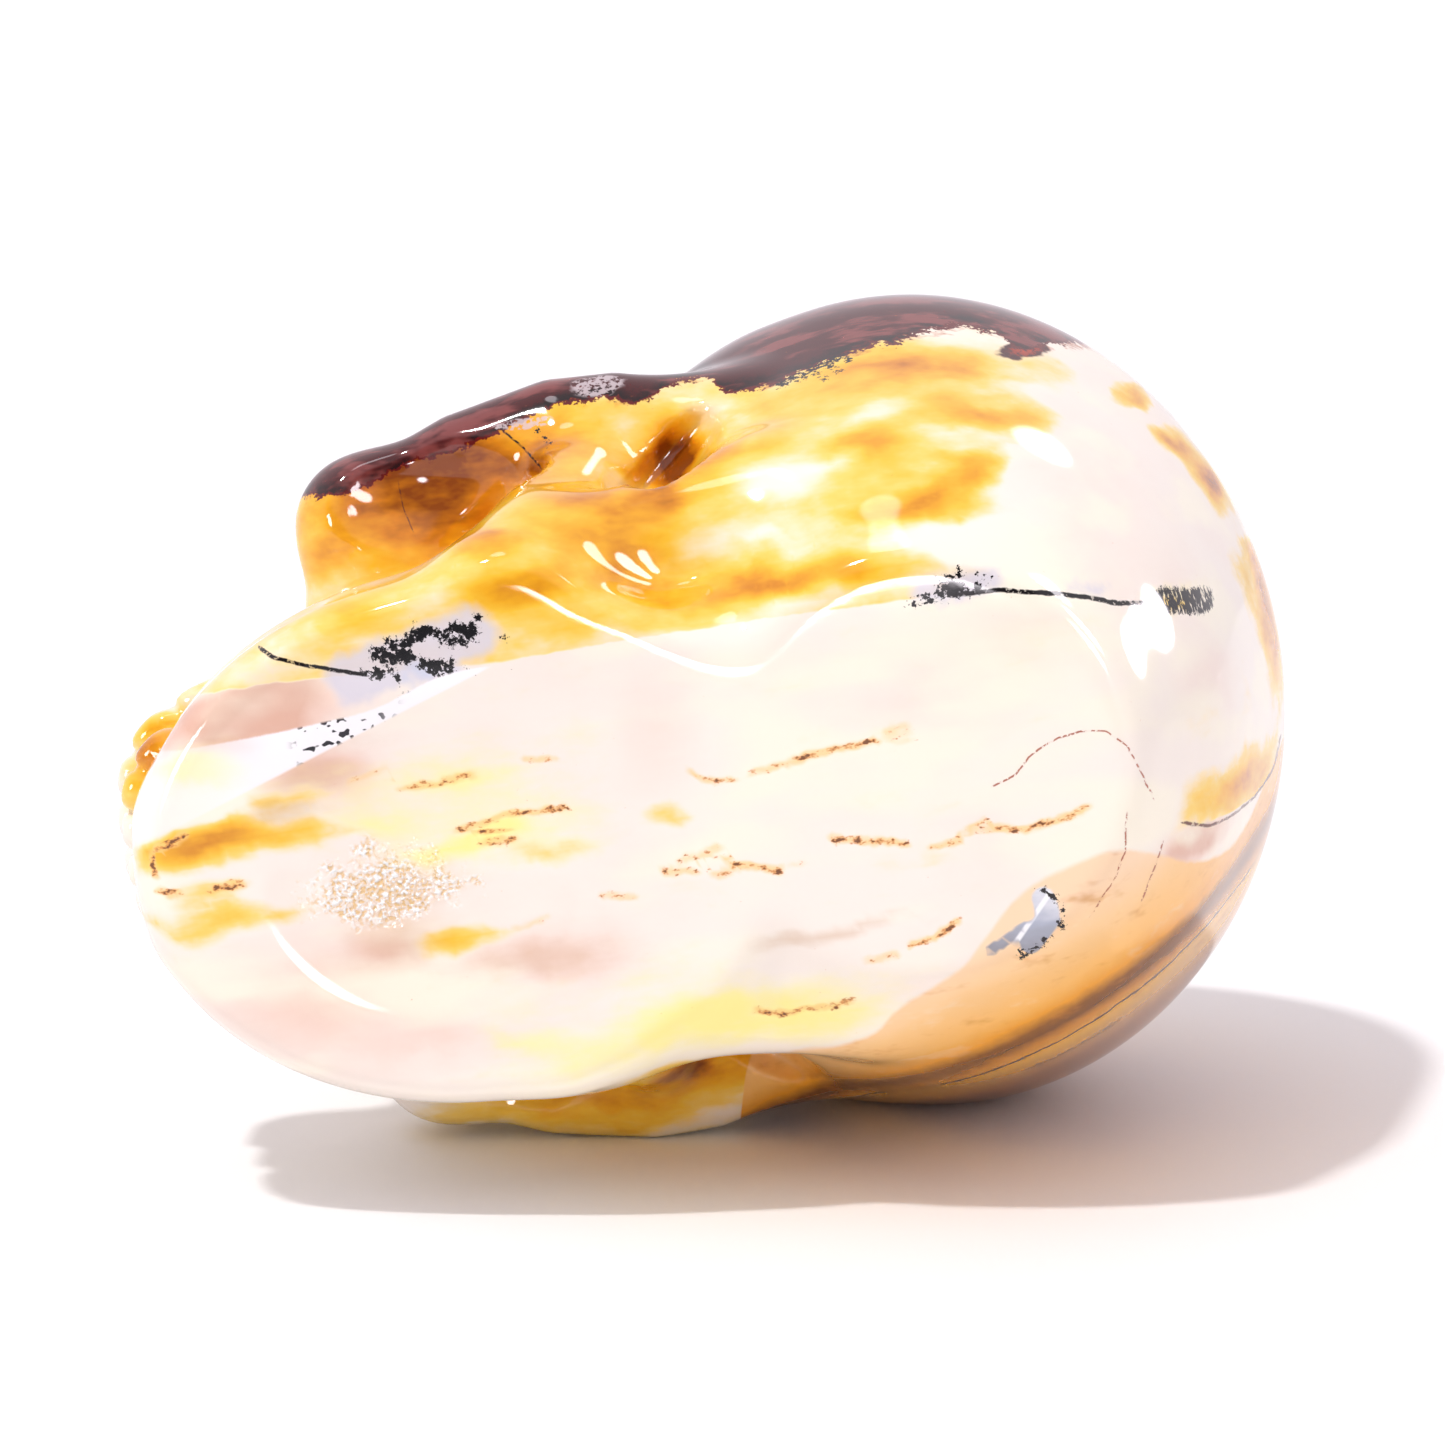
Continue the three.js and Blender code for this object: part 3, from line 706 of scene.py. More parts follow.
# %% Where the black trees, the loose wedge and their pale halo lie
BLACK = [
    # line, half thickness
    ([(-26.3, -12.8), (-25, -12.7), (-24.2, -13.2), (-22.9, -13.6), (-21.5, -13.2), (-20.5, -12.6)], 0.3),
    ([(-25, -14.4), (-24.5, -14.1), (-23.4, -13.7)], 0.5),
    ([(-23.9, -15), (-23.4, -14.4), (-23, -13.7)], 0.45), ([(-22.4, -14.8), (-22.8, -14)], 0.45),
    ([(-24.9, -12.9), (-24.7, -12.5)], 0.35), ([(-24.1, -13), (-23.7, -12.2)], 0.26),
    ([(-26, -12.8), (-25.6, -12.6)], 0.3), ([(-22.1, -15.3), (-21.2, -15.4), (-20.2, -15.4)], 0.42),
    ([(-21.6, -16.5), (-21.2, -16.2), (-21.3, -15.5)], 0.2),
    ([(-19.5, -15.2), (-18.8, -15.6), (-18.1, -15.3), (-17.2, -15.5), (-16.3, -16)], 0.3),
    ([(-18.4, -15.1), (-17.3, -15), (-16.8, -14.8)], 0.42),
    ([(-18.6, -14.2), (-17.6, -14.3), (-17, -14.6)], 0.36), ([(-20, -14.4), (-19.6, -14.6)], 0.18),
    ([(-19, -14.7), (-18.8, -14.1)], 0.22), ([(-21.2, -12.9), (-20.4, -12.2), (-20.1, -11.9)], 0.32),
    ([(-20.4, -12.7), (-19.2, -12.7)], 0.26), ([(-19.6, -12.3), (-19, -12.2)], 0.2),
    ([(-14.8, -13.9), (-14.4, -14)], 0.13), ([(-14.4, -11.2), (-14, -11.4)], 0.07),
    ([(-20, -11.4), (-18.9, -11.4), (-17.6, -11.8)], 0.17), ([(-23.4, -10.5), (-22.7, -10.6)], 0.16),
    ([(-21.3, -10.5), (-20.5, -10.8)], 0.12), ([(-24.8, -9.5), (-24.4, -9.5)], 0.16),
    ([(18.1, -12.3), (19.9, -12.4), (21.7, -12.4), (23.3, -12.5)], 0.28),
    ([(21.4, -12.7), (22.3, -12.9)], 0.5), ([(22, -13), (22, -13.8), (22.2, -14.4)], 0.34),
    ([(20.5, -13.7), (21.6, -13.5)], 0.32), ([(23.3, -12.7), (23.7, -12.9)], 0.3),
    ([(23.3, -13.7), (23.6, -13.9)], 0.07), ([(24.4, -13.3), (24.8, -13.7)], 0.06),
    ([(25.2, 12), (26.1, 12.7), (26.9, 13.9), (26.2, 15), (25.9, 15.6)], 0.2),
    ([(26.1, 15), (26.6, 15.3)], 0.22), ([(25.1, 16.1), (24, 16.8), (22.7, 17.1)], 0.24),
    ([(9.6, -30.2), (12.5, -30.9), (15.8, -32.2)], 0.2), ([(12.4, -31), (13.6, -30.1)], 0.12),
    ([(13.6, -31.4), (14.9, -30.6)], 0.12), ([(14.7, -31.9), (15.9, -31.3)], 0.12),
    ([(-11.6, -29.4), (-10.2, -28)], 0.1),
]
PALE = [
    ([(-27, -12.6), (-23, -13.6), (-20, -14.2), (-17, -14.8)], 2.3), ([(-22, -12), (-19, -12.4)], 1.1),
    ([(19.5, -13), (24.5, -13.2)], 1.2), ([(31, -11.6), (33.5, -10.9)], 0.5),
]
WEDGE = [([(25.4, 12.8), (25.5, 14.4), (23.9, 16.2)], 1.0), ([(24, 14.8), (20.6, 16.4)], 0.5)]
COMB = [([(38.4, -8.9), (42.2, -7.8)], 0.85)]
print("black strokes:", len(BLACK))

# %% [markdown]
# ## Marks written on the mesh
# Store Named Attribute keeps three numbers with every point. Before the gold patches are read, the
# point drifts and is drawn out along the beds, which gives the clouds their windblown look. A mark
# reaches only as deep as the photograph shows it: deeper in, every distance grows by 9 mm.

# %% Write them on the mesh as attributes
mark_tree, given, end = new_group("markings", SHAPE, [("Geometry", "geometry", None)],
                                  [("Geometry", "geometry")])
where = Flow(mark_tree.nodes.new("GeometryNodeInputPosition").outputs[0])
frayed = drift(drift(where, 8.0, 5.0, 1), 2.6, 1.6, 2)
drawn_out = aim("MULTIPLY", frayed, (0.3, 1.0, 0.4))
streaks = (cloud(drawn_out, 4.5, 3.0, 0.55, 3) - 0.5) * 1.4
x, y, z = parts(where)
above_gold = patches(frayed, GOLD_ABOVE) + streaks + fade(x, 40.0, 18.0) * ABOVE_SHARE
below_gold = patches(frayed, GOLD_BELOW) + streaks + fade(z, 20.0, 45.0) * 0.2
lemon = patches(frayed, LEMON) + streaks * 0.5
milky = cloud(aim("MULTIPLY", where, (0.35, 1.0, 0.5)), 6.0, 3.0, 0.5, 8)
pink = patches(frayed, PINK) + (cloud(where, 15.0, 2.0, 0.5, 4) - 0.5) * 0.8
depth = z - 20.0 * fade(y, -19.5, -21.5) - 28.0 * fade(x, 26.0, 34.0)
shallow = fade(depth, 12.0, 9.0)
buried = fade(depth, 9.0, 12.0) * 9.0
row_across, row_strength, _ = nearest_stroke(where, [(line, size, 0.0) for line, size in ROWS])
line_across, line_half, line_red = nearest_stroke(where, LINES)
stored = given["Geometry"]
for name, values in [
    ("gold", (above_gold, below_gold, lemon)),
    # The third number of blush is painted shade.
    ("blush", (pink, blobs(where, WEDGE) + buried, patches(frayed, PAINTED_SHADE))),
    ("rows", (row_across, row_strength * fade(z, 9.0, 6.0), milky)),
    ("lines", (line_across, line_half * shallow, line_red)),
    ("ink", (blobs(where, BLACK) + buried, blobs(where, PALE) + buried, blobs(where, COMB) + buried)),
]:
    keep = mark_tree.nodes.new("GeometryNodeStoreNamedAttribute")
    keep.data_type = "FLOAT_VECTOR"
    keep.domain = "POINT"
    feed(keep.inputs["Geometry"], stored)
    keep.inputs["Name"].default_value = name
    feed(next(s for s in keep.inputs if s.name == "Value" and s.enabled), pack(mark_tree, *values))
    stored = Flow(keep.outputs[0])
feed(end.inputs[0], stored)
print("nodes in the markings:", len(mark_tree.nodes))

# %% [markdown]
# ## One tree from empty box to dressed stone
# The tree starts from nothing: it fills a box with the form, wraps it, pulls it smooth six times,
# writes the marks, lays the skull down in metres, and ends with the material. The cell size is its
# main input: 0.65 mm keeps the tooth gaps crisp at about 85,000 points.

# %% The tree that makes the stone
CELL = 0.65
BOX_LOW = Vector((-56, -42, -4))
BOX_HIGH = Vector((56, 42, 82))
EVENING_ROUNDS = 3
LAST_ROUNDS = 3
METRES = 0.001

stone_tree, given, end = new_group("carved stone", SHAPE, [
    ("Geometry", "geometry", None), ("Cell", "number", CELL), ("Tooth gap", "number", 1.1),
    ("Rest plane", "number", REST_PLANE), ("Stone", "material", None)], [("Geometry", "geometry")])
where = Flow(stone_tree.nodes.new("GeometryNodeInputPosition").outputs[0])
distance = use(stone_tree, form_group, point=where, tooth_gap=given["Tooth gap"],
               rest_plane=given["Rest plane"])
filled = calc("MINIMUM", calc("MAXIMUM", 0.5 - distance / (given["Cell"] * 8.0), 0.0), 1.0)
block = stone_tree.nodes.new("GeometryNodeVolumeCube")
feed(block.inputs["Density"], filled)
block.inputs["Min"].default_value = BOX_LOW
block.inputs["Max"].default_value = BOX_HIGH
for axis, label in enumerate(["Resolution X", "Resolution Y", "Resolution Z"]):
    feed(block.inputs[label], (BOX_HIGH[axis] - BOX_LOW[axis]) / given["Cell"])
skin = stone_tree.nodes.new("GeometryNodeVolumeToMesh")
feed(skin.inputs["Volume"], Flow(block.outputs[0]))
skin.inputs["Threshold"].default_value = 0.5
made = Flow(skin.outputs[0])
for round_number in range(EVENING_ROUNDS + LAST_ROUNDS):
    evening = 0.5 if round_number < EVENING_ROUNDS else 0.0
    made = use(stone_tree, pull_group, geometry=made, evening=evening, tooth_gap=given["Tooth gap"],
               rest_plane=given["Rest plane"])
made = use(stone_tree, mark_tree, geometry=made)

laid = stone_tree.nodes.new("GeometryNodeTransform")
feed(laid.inputs["Geometry"], made)
laid.inputs["Translation"].default_value = LAID_MIDDLE * METRES
laid.inputs["Rotation"].default_value = lay.to_euler()
laid.inputs["Scale"].default_value = (METRES, METRES, METRES)
smooth = stone_tree.nodes.new("GeometryNodeSetShadeSmooth")
feed(smooth.inputs["Geometry"], Flow(laid.outputs[0]))
real = stone_tree.nodes.new("GeometryNodeRealizeInstances")
feed(real.inputs["Geometry"], Flow(smooth.outputs[0]))
dressed = stone_tree.nodes.new("GeometryNodeSetMaterial")
feed(dressed.inputs["Geometry"], Flow(real.outputs[0]))
feed(dressed.inputs["Material"], given["Stone"])
feed(end.inputs[0], Flow(dressed.outputs[0]))
print("nodes in the stone's tree:", len(stone_tree.nodes))

# %% [markdown]
# ## From a modifier to a plain mesh
# The frame needs a plain mesh at the origin, so the evaluated result is copied once and the
# modifier goes. Then the stone is attached to the body it rides on, and the coarse piece of the
# model is hidden.

# %% Bake the stone to a plain mesh
jasper = bpy.data.materials.new("polished_jasper")
holder = bpy.data.objects.new("skull_stone", bpy.data.meshes.new("skull_stone"))
bpy.context.scene.collection.objects.link(holder)
modifier = holder.modifiers.new("carved stone", "NODES")
modifier.node_group = stone_tree
sockets = {item.name: item.identifier for item in stone_tree.interface.items_tree if item.in_out == "INPUT"}
modifier[sockets["Cell"]] = CELL
modifier[sockets["Stone"]] = jasper
view_layer = bpy.context.evaluated_depsgraph_get()
baked = bpy.data.meshes.new_from_object(holder.evaluated_get(view_layer), depsgraph=view_layer)
baked.materials.clear()
baked.materials.append(jasper)
baked.polygons.foreach_set("material_index", [0] * len(baked.polygons))
holder.modifiers.remove(modifier)
holder.data = baked
skull = holder
print("points:", len(baked.vertices), "facets:", len(baked.polygons))
print("attributes:", list(baked.attributes.keys()))
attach(skull, "root")
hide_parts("skull")
bpy.context.view_layer.update()
for label, corners in [("stone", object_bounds()), ("model", (cad_low, cad_high))]:
    print(label, "low and high, mm:", [[round(c * 1000, 2) for c in corner] for corner in corners])

# %% [markdown]
# ## The photograph's camera
# The camera looks slightly down at the ground base from about half a metre, through a long lens,
# so the stone keeps its proportions. It aims at the middle of the stone, and a small shift puts
# the stone where the photograph has it in the frame.

# %% Set up the camera
FRAME_SIDE = 1445
ELEVATION = 10.2
DISTANCE = 0.450
PIXELS_PER_MM = 11.50
AIM = Vector((-0.00067, -0.00358, 0.03347))
AIM_PIXEL = (708.6, 744.2)
SENSOR = 36

camera_data = bpy.data.cameras.new("photo_camera")
camera = bpy.data.objects.new("photo_camera", camera_data)
bpy.context.scene.collection.objects.link(camera)
bpy.context.scene.camera = camera
slant = math.radians(ELEVATION)
backwards = Vector((0, -math.cos(slant), math.sin(slant)))
camera.location = AIM + backwards * DISTANCE
camera.rotation_euler = (-backwards).to_track_quat("-Z", "Y").to_euler()
camera_data.sensor_width = SENSOR
camera_data.lens = SENSOR * PIXELS_PER_MM * DISTANCE * 1000 / FRAME_SIDE
camera_data.shift_x = (FRAME_SIDE / 2 - AIM_PIXEL[0]) / FRAME_SIDE
camera_data.shift_y = (AIM_PIXEL[1] - FRAME_SIDE / 2) / FRAME_SIDE
print("lens, mm:", round(camera_data.lens, 1))

# %% [markdown]
# ## A white floor and one hard light
# The photograph is high-key: a pure white floor, one fairly small light high on the left, which
# draws the crisp shadow, and soft light from all round that keeps that shadow pale.

# %% Floor and sun
floor_mesh = bpy.data.meshes.new("studio_floor")
floor_mesh.from_pydata([(-3, -3, 0), (3, -3, 0), (3, 3, 0), (-3, 3, 0)], [], [(0, 1, 2, 3)])
floor = bpy.data.objects.new("studio_floor", floor_mesh)
bpy.context.scene.collection.objects.link(floor)
floor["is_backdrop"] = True
paper = bpy.data.materials.new("white_paper")
paper.use_nodes = True
paper.node_tree.nodes["Principled BSDF"].inputs["Base Color"].default_value = (0.9, 0.9, 0.9, 1)
paper.node_tree.nodes["Principled BSDF"].inputs["Roughness"].default_value = 0.6
floor_mesh.materials.append(paper)

sun_data = bpy.data.lights.new("key_light", "SUN")
sun_data.energy = 1.6
sun_data.angle = math.radians(4)
sun = bpy.data.objects.new("key_light", sun_data)
bpy.context.scene.collection.objects.link(sun)
sun.rotation_euler = Vector((0.38, 0.27, -1.0)).to_track_quat("-Z", "Y").to_euler()
bpy.context.scene.view_settings.view_transform = "Standard"
print("sun energy:", sun_data.energy)

# %% [markdown]
# ## Soft light and what the polish mirrors
# Polished stone shows its surroundings. Straight ahead of the ground base the studio is dim, or the
# flat faces would turn milky. Soft boxes to the left, to the right and overhead draw the bright
# lines round the rims. The world gives mirrored rays these boxes, and all other rays an even sky.

# %% The surroundings
SOFT_BOXES = [
    # degrees round from the camera's side, degrees up, radius, brightness
    (-55, 15, 9, 18.0), (90, 50, 7, 12.0), (62, 34, 8, 18.0), (38, 22, 6, 18.0), (115, 18, 5.5, 24.0),
    (-90, 80, 6, 5.0), (150, 38, 5, 6.0), (-2, 3, 2.3, 26.0), (136, -5, 4, 10.0),
]
EVEN_SKY = 0.78
world = bpy.data.worlds.new("studio")
bpy.context.scene.world = world
world.use_nodes = True
SKY = world.node_tree
direction = Flow(SKY.nodes.new("ShaderNodeTexCoord").outputs["Generated"])
sky_x, sky_y, sky_z = parts(direction)
dim_front = fade(sky_y, -0.1, -0.45) * fade(sky_z, 0.75, 0.5) * fade(sky_x, 0.55, 0.3)
mirrored = 0.95 - 0.75 * dim_front
for azimuth, height, radius, brightness in SOFT_BOXES:
    azimuth, height = math.radians(azimuth), math.radians(height)
    centre = (math.sin(azimuth) * math.cos(height), -math.cos(azimuth) * math.cos(height), math.sin(height))
    near = aim("DOT_PRODUCT", direction, centre)
    edge = math.cos(math.radians(radius + 1.0)), math.cos(math.radians(radius - 1.0))
    mirrored = mirrored + brightness * fade(near, *edge)
ray = SKY.nodes.new("ShaderNodeLightPath")
glossy = Flow(ray.outputs["Is Glossy Ray"])
strength = glossy * (mirrored - EVEN_SKY) + EVEN_SKY
SKY.nodes["Background"].inputs["Color"].default_value = (1.0, 0.94, 1.0, 1)
feed(SKY.nodes["Background"].inputs["Strength"], strength)
print("soft boxes:", len(SOFT_BOXES))

# %% [markdown]
# ## The stone's own frame
# A block of jasper is a stack of beds, and the carver cut through it without caring for them. So
# the pattern is drawn in three dimensions, in the standing skull's millimetres, and the surface
# only shows where it cuts the beds. A Mapping node turns Object coordinates back to that frame.

# %% Helpers for painting with nodes
jasper.use_nodes = True
PAINT = jasper.node_tree
finish_node = PAINT.nodes["Principled BSDF"]


def tint(red, green, blue):
    """A colour as it looks on a screen, 0 to 255, turned into the light values that nodes use."""
    light = [c / 255 / 12.92 if c < 10.4 else ((c / 255 + 0.055) / 1.055) ** 2.4 for c in (red, green, blue)]
    return (*light, 1.0)


def over(below, colour, mask):
    """Lays a colour over another where the mask is 1."""
    node = PAINT.nodes.new("ShaderNodeMix")
    node.data_type = "RGBA"
    feed(node.inputs[0], mask)
    feed(node.inputs[6], below)
    feed(node.inputs[7], colour)
    return Flow(node.outputs[2])


def grade(value, *steps):
    """A colour ramp. Each step is a place from 0 to 1 and a colour."""
    node = PAINT.nodes.new("ShaderNodeValToRGB")
    feed(node.inputs[0], value)
    stops = node.color_ramp.elements
    while len(stops) < len(steps):
        stops.new(0.5)
    for stop, (place, colour) in zip(stops, steps):
        stop.position = place
    for stop, (place, colour) in zip(stops, steps):
        stop.color = tint(*colour)
    return Flow(node.outputs[0])


def stored(name):
    """The three numbers that the mesh keeps under that name."""
    node = PAINT.nodes.new("ShaderNodeAttribute")
    node.attribute_name = name
    return parts(Flow(node.outputs["Vector"]))


stand_up = lay.inverted()
mapping = PAINT.nodes.new("ShaderNodeMapping")
mapping.inputs["Scale"].default_value = (1000, 1000, 1000)
mapping.inputs["Rotation"].default_value = stand_up.to_euler()
mapping.inputs["Location"].default_value = -(stand_up.to_3x3() @ LAID_MIDDLE)
feed(mapping.inputs["Vector"], Flow(PAINT.nodes.new("ShaderNodeTexCoord").outputs["Object"]))
here = Flow(mapping.outputs[0])
x, y, z = parts(here)
lumps = cloud(here, 2.2, 2.0, 0.65, 5) - 0.5
grit = cloud(here, 0.5, 2.0, 0.65, 6) - 0.5
twigs = cloud(here, 0.55, 3.0, 0.8, 16) - 0.5
print("pattern frame ready")

# %% [markdown]
# ## Ground and golden clouds
# The ground is a pale pink. The gold that the mesh carries is soft, so a finer noise breaks its
# edges up. One line cuts it clean: it is partly the edge of a bed and partly the painted edge of a
# reflection of the soft light. Above it the stone is mostly gold; below it mostly pale, which is
# partly a painted reflection.

# %% Lay the ground, then lemon, then gold
# The line is partly a bed's edge and partly the painted edge of a reflection of the soft light.
bed_and_reflection_edge = y - profile(x, [(-50, -12.6), (-30, -13), (-16, -12.2), (-9, -12.4), (5, -12.6), (20, -12.6),
                           (50, -14)])
row_gap, row_strength, milky = stored("rows")
bed_and_reflection_edge = bed_and_reflection_edge - 0.08 * z + (milky - 0.5) * fade(z, 8.0, 60.0) * 14.0 + lumps * (0.5 + z * 0.03)
above_bed_and_reflection_edge = fade(bed_and_reflection_edge / (1.0 + z * 0.08), 0.2, -0.2)
above_gold, below_gold, lemon = stored("gold")
blush, wedge_gap, painted_shade = stored("blush")
mottle = cloud(aim("MULTIPLY", here, (0.45, 1.0, 0.45)), 2.4, 3.0, 0.65, 7) - 0.5
gold = below_gold + above_bed_and_reflection_edge * (above_gold - below_gold)
gold = gold + mottle * fade(gold, 0.0, 0.7) * 0.7
gold = gold * (1.0 - fade(x, 36.0, 37.0) * fade(y, 9.9, 10.4) * fade(z, 50.0, 40.0))

stone_colour = grade(blush + mottle * 0.2 + 0.1, (0.05, (249, 239, 228)), (0.4, (247, 229, 217)),
                     (0.7, (240, 208, 192)), (1.0, (224, 178, 156)))
stone_colour = over(stone_colour, tint(254, 247, 226), fade(milky, 0.42, 0.66) * 0.85)
yellow = fade(lemon + mottle * 0.8, 0.1, 1.2) * (1.0 - above_bed_and_reflection_edge)
stone_colour = over(stone_colour, tint(254, 243, 152), yellow)
honey = grade(gold * 0.625, (0.14, (252, 238, 220)), (0.26, (252, 228, 176)), (0.4, (251, 212, 104)),
              (0.54, (247, 196, 56)), (0.68, (240, 172, 30)), (0.84, (212, 132, 16)), (1.0, (138, 70, 10)))
stone_colour = over(stone_colour, honey, fade(gold * (0.74 + 0.26 * above_bed_and_reflection_edge), 0.1, 0.44))
# Painted shade, beige, along the rims of the dish and the disc.
stone_colour = over(stone_colour, tint(212, 174, 138), fade(painted_shade + mottle * 0.5, 0.05, 0.9) * 0.55)
print("nodes so far:", len(PAINT.nodes))

# %% [markdown]
# ## Tan beds, painted shade and a painted reflected edge under the back of the head
# Low on the back of the head the beds turn tan and brown and lie close together. They dip to one
# side, so their height is measured square to a tilted plane. The tan deepens towards the floor,
# which is partly painted shade and painted reflection of the shadowed floor. A clean edge parts
# it from the pink: a painted reflection of the edge of the floor's shadow.

# %% Tan and brown beds, with painted shade and a painted reflected shadow edge
bed_height = y + 0.392 * x + 0.094 * z + lumps * 0.9
tan_and_reflected_shadow_edge = profile(x, [(-50, 50), (-6, 40), (0, 25), (3, 23.4), (8, 23.1), (10.5, 22.2), (12.3, 20.6), (16, 18.6),
                       (18.3, 17.3), (20.2, 15.4), (24.1, 11.9), (28.6, 10.3), (32, 9.8), (35.2, 11.2),
                       (38.1, 12.9), (41.7, 13.4), (44, 12), (45.5, 10.3), (47.5, 8.3), (50, 6)])
# The tan deepens towards the floor: the stone's tan with painted shade and painted reflection.
tan_and_shade = grade((bed_height - 24.0) * 0.05, (0.0, (252, 218, 180)), (0.2, (251, 206, 144)),
            (0.38, (250, 192, 106)), (0.48, (240, 164, 40)), (0.55, (136, 80, 0)), (0.6, (120, 70, 0)),
            (0.66, (214, 138, 6)), (0.74, (246, 182, 40)), (0.86, (236, 170, 34)), (1.0, (160, 96, 0)))
pale_streak = fade(mottle + lumps * 0.3, 0.06, 0.3) * fade(bed_height, 36.0, 30.0)
tan_and_shade = over(tan_and_shade, tint(252, 222, 180), pale_streak * 0.6)
tan_and_shade = over(tan_and_shade, tint(206, 132, 30), fade(mottle, -0.06, -0.3) * 0.6)
tan_and_shade = over(tan_and_shade, tint(48, 28, 14), fade(calc("ABSOLUTE", bed_height - 38.2 + grit * 0.4), 0.24, 0.06) * 0.9)
tan_and_shade = over(tan_and_shade, tint(40, 26, 18), fade(calc("ABSOLUTE", bed_height - 41.2 + twigs * 3.0), 0.3, 0.1)
           * fade(calc("ABSOLUTE", x - 26.5), 5.0, 3.5) * 0.9)
# The clean edge is a painted reflection of the edge of the floor's shadow.
stone_colour = over(stone_colour, tan_and_shade, fade(y - tan_and_reflected_shadow_edge + lumps * 0.4, -0.25, 0.35))
print("tan beds ready")

# %% [markdown]
# ## The dark red rind
# One side of the block still has its rind, a dark wine red layer. The carving leaves it on the
# cheek arch and the side of the head. Its lower edge is ragged and almost black.

# %% Rind
rind_edge = profile(x, [(-50, -26), (-31, -26.6), (-27, -26.8), (-23.6, -27.9), (-18.7, -28.8),
                        (-14.4, -29.8), (-11, -31), (-5.5, -31.4), (-2.6, -30.6), (1, -31.8), (3.5, -31.7),
                        (5.4, -30.3), (8, -30.4), (11.4, -31), (15.7, -32), (22.2, -32.9), (25, -33),
                        (28.4, -31.9), (30.4, -30.2), (33, -30.2), (36, -29.8), (50, -29)])
ragged = (cloud(here, 3.0, 3.0, 0.75, 14) - 0.5) * 1.8 + grit * 0.8
rind_depth = rind_edge - y + ragged
rind_noise = cloud(aim("MULTIPLY", here, (0.4, 1.0, 1.0)), 3.0, 3.0, 0.7, 15)
rind_colour = over(tint(72, 14, 16), tint(128, 62, 60), fade(rind_noise, 0.46, 0.62))
rind_colour = over(rind_colour, tint(24, 3, 5), fade(rind_depth, 1.0, 0.15) * fade(rind_noise, 0.62, 0.4))
stain = fade(rind_depth + (rind_noise - 0.5) * 5.0, -0.5, 0.4) * fade(rind_depth, -1.6, -0.4)
stone_colour = over(stone_colour, tint(178, 84, 14), stain * 0.7)
red_spot = aim("LENGTH", aim("DIVIDE", aim("SUBTRACT", here, (30.8, -29.9, 33.0)), (2.8, 0.8, 5.0)))
red_colour = over(tint(66, 5, 5), tint(168, 52, 14), fade(red_spot + grit, 0.8, 0.2))
stone_colour = over(stone_colour, red_colour, fade(red_spot + lumps * 1.2, 1.1, 0.8))
stone_colour = over(stone_colour, tint(98, 12, 8), fade(rind_depth + grit * 0.6, -0.35, -0.2))
stone_colour = over(stone_colour, rind_colour, fade(rind_depth, -0.08, 0.06))
# Painted glints: two pale grey spots on the rind, broken up by grit.
for middle, sizes in [((-5.7, -32.3, 28.8), (2.4, 1.1, 2.4)), ((-12.2, -30.0, 26.5), (2.6, 0.5, 2.0))]:
    rind_glint = aim("LENGTH", aim("DIVIDE", aim("SUBTRACT", here, middle), sizes))
    rind_glint = fade(rind_glint + lumps, 1.1, 0.8) * fade(grit, -0.1, 0.02)
    stone_colour = over(stone_colour, tint(214, 200, 204), rind_glint * 0.75)
print("rind ready")

# %% [markdown]
# ## Dendrites
# The black trees are manganese that crept along cracks, the way frost grows on glass. Their main
# branches are strokes kept on the mesh as a distance. Adding a gritty noise to that distance
# before it is cut makes the twigs: the edge breaks into tufts and loose specks.

# %% Pale halo, black trees, comb and stems
black_gap, pale_gap, comb_gap = stored("ink")
pale = fade(pale_gap + lumps * 1.6, 0.5, -0.9)
stone_colour = over(stone_colour, tint(216, 212, 224), pale * 0.85)
from_pocket = aim("LENGTH", aim("SUBTRACT", pack(PAINT, x, y, 0.0), (-21.9, -12.1, 0.0)))
blue_pocket = fade(from_pocket, 1.6, 0.8) * fade(black_gap + lumps, 1.1, 0.2)
stone_colour = over(stone_colour, tint(200, 208, 230), blue_pocket * 0.6)
hairs = cloud(aim("MULTIPLY", here, (1.9, 0.2, 0.7)), 0.5, 2.0, 0.6, 18)
black = fade(black_gap + twigs * 2.1, 0.06, -0.06)
black = most(black, fade(comb_gap + twigs * 1.6, 0.25, 0.0) * fade(hairs + twigs * 0.3, 0.36, 0.45))
stone_colour = over(stone_colour, tint(7, 6, 12), black)
line_gap, line_half, line_red = stored("lines")
on_line = calc("ABSOLUTE", line_gap + lumps * 0.35 + grit * 0.15)
line_mask = fade(on_line - line_half, 0.05, -0.06) * fade(line_half, 0.03, 0.07)
line_mask = line_mask * (1.0 - (0.5 + 0.45 * line_red) * fade(grit + line_red * 0.07, 0.06, 0.12))
stone_colour = over(stone_colour, over(tint(16, 11, 14), tint(176, 98, 70), line_red), line_mask)
print("trees ready")

# %% [markdown]
# ## Rusty rows
# Short rows of rust dots follow the beds across the ground base. A row is a soft line times a
# grain: the dots show only where the grain is high and the line is near. A honey haze lies under it.

# %% Rows
on_row = fade(calc("ABSOLUTE", row_gap + lumps * 1.3), 0.7, 0.0) * row_strength
dots = cloud(aim("MULTIPLY", here, (0.6, 1.0, 1.0)), 0.5, 2.0, 0.65, 24)
stone_colour = over(stone_colour, tint(250, 206, 122), fade(on_row + mottle * 0.8, 0.1, 1.0) * 0.75)
stone_colour = over(stone_colour, tint(212, 130, 56), fade(on_row * 0.32 + dots, 0.74, 0.88) * 0.8)
stone_colour = over(stone_colour, tint(104, 58, 28), fade(on_row * 0.28 + dots, 0.83, 0.9) * 0.9)
print("rows ready")

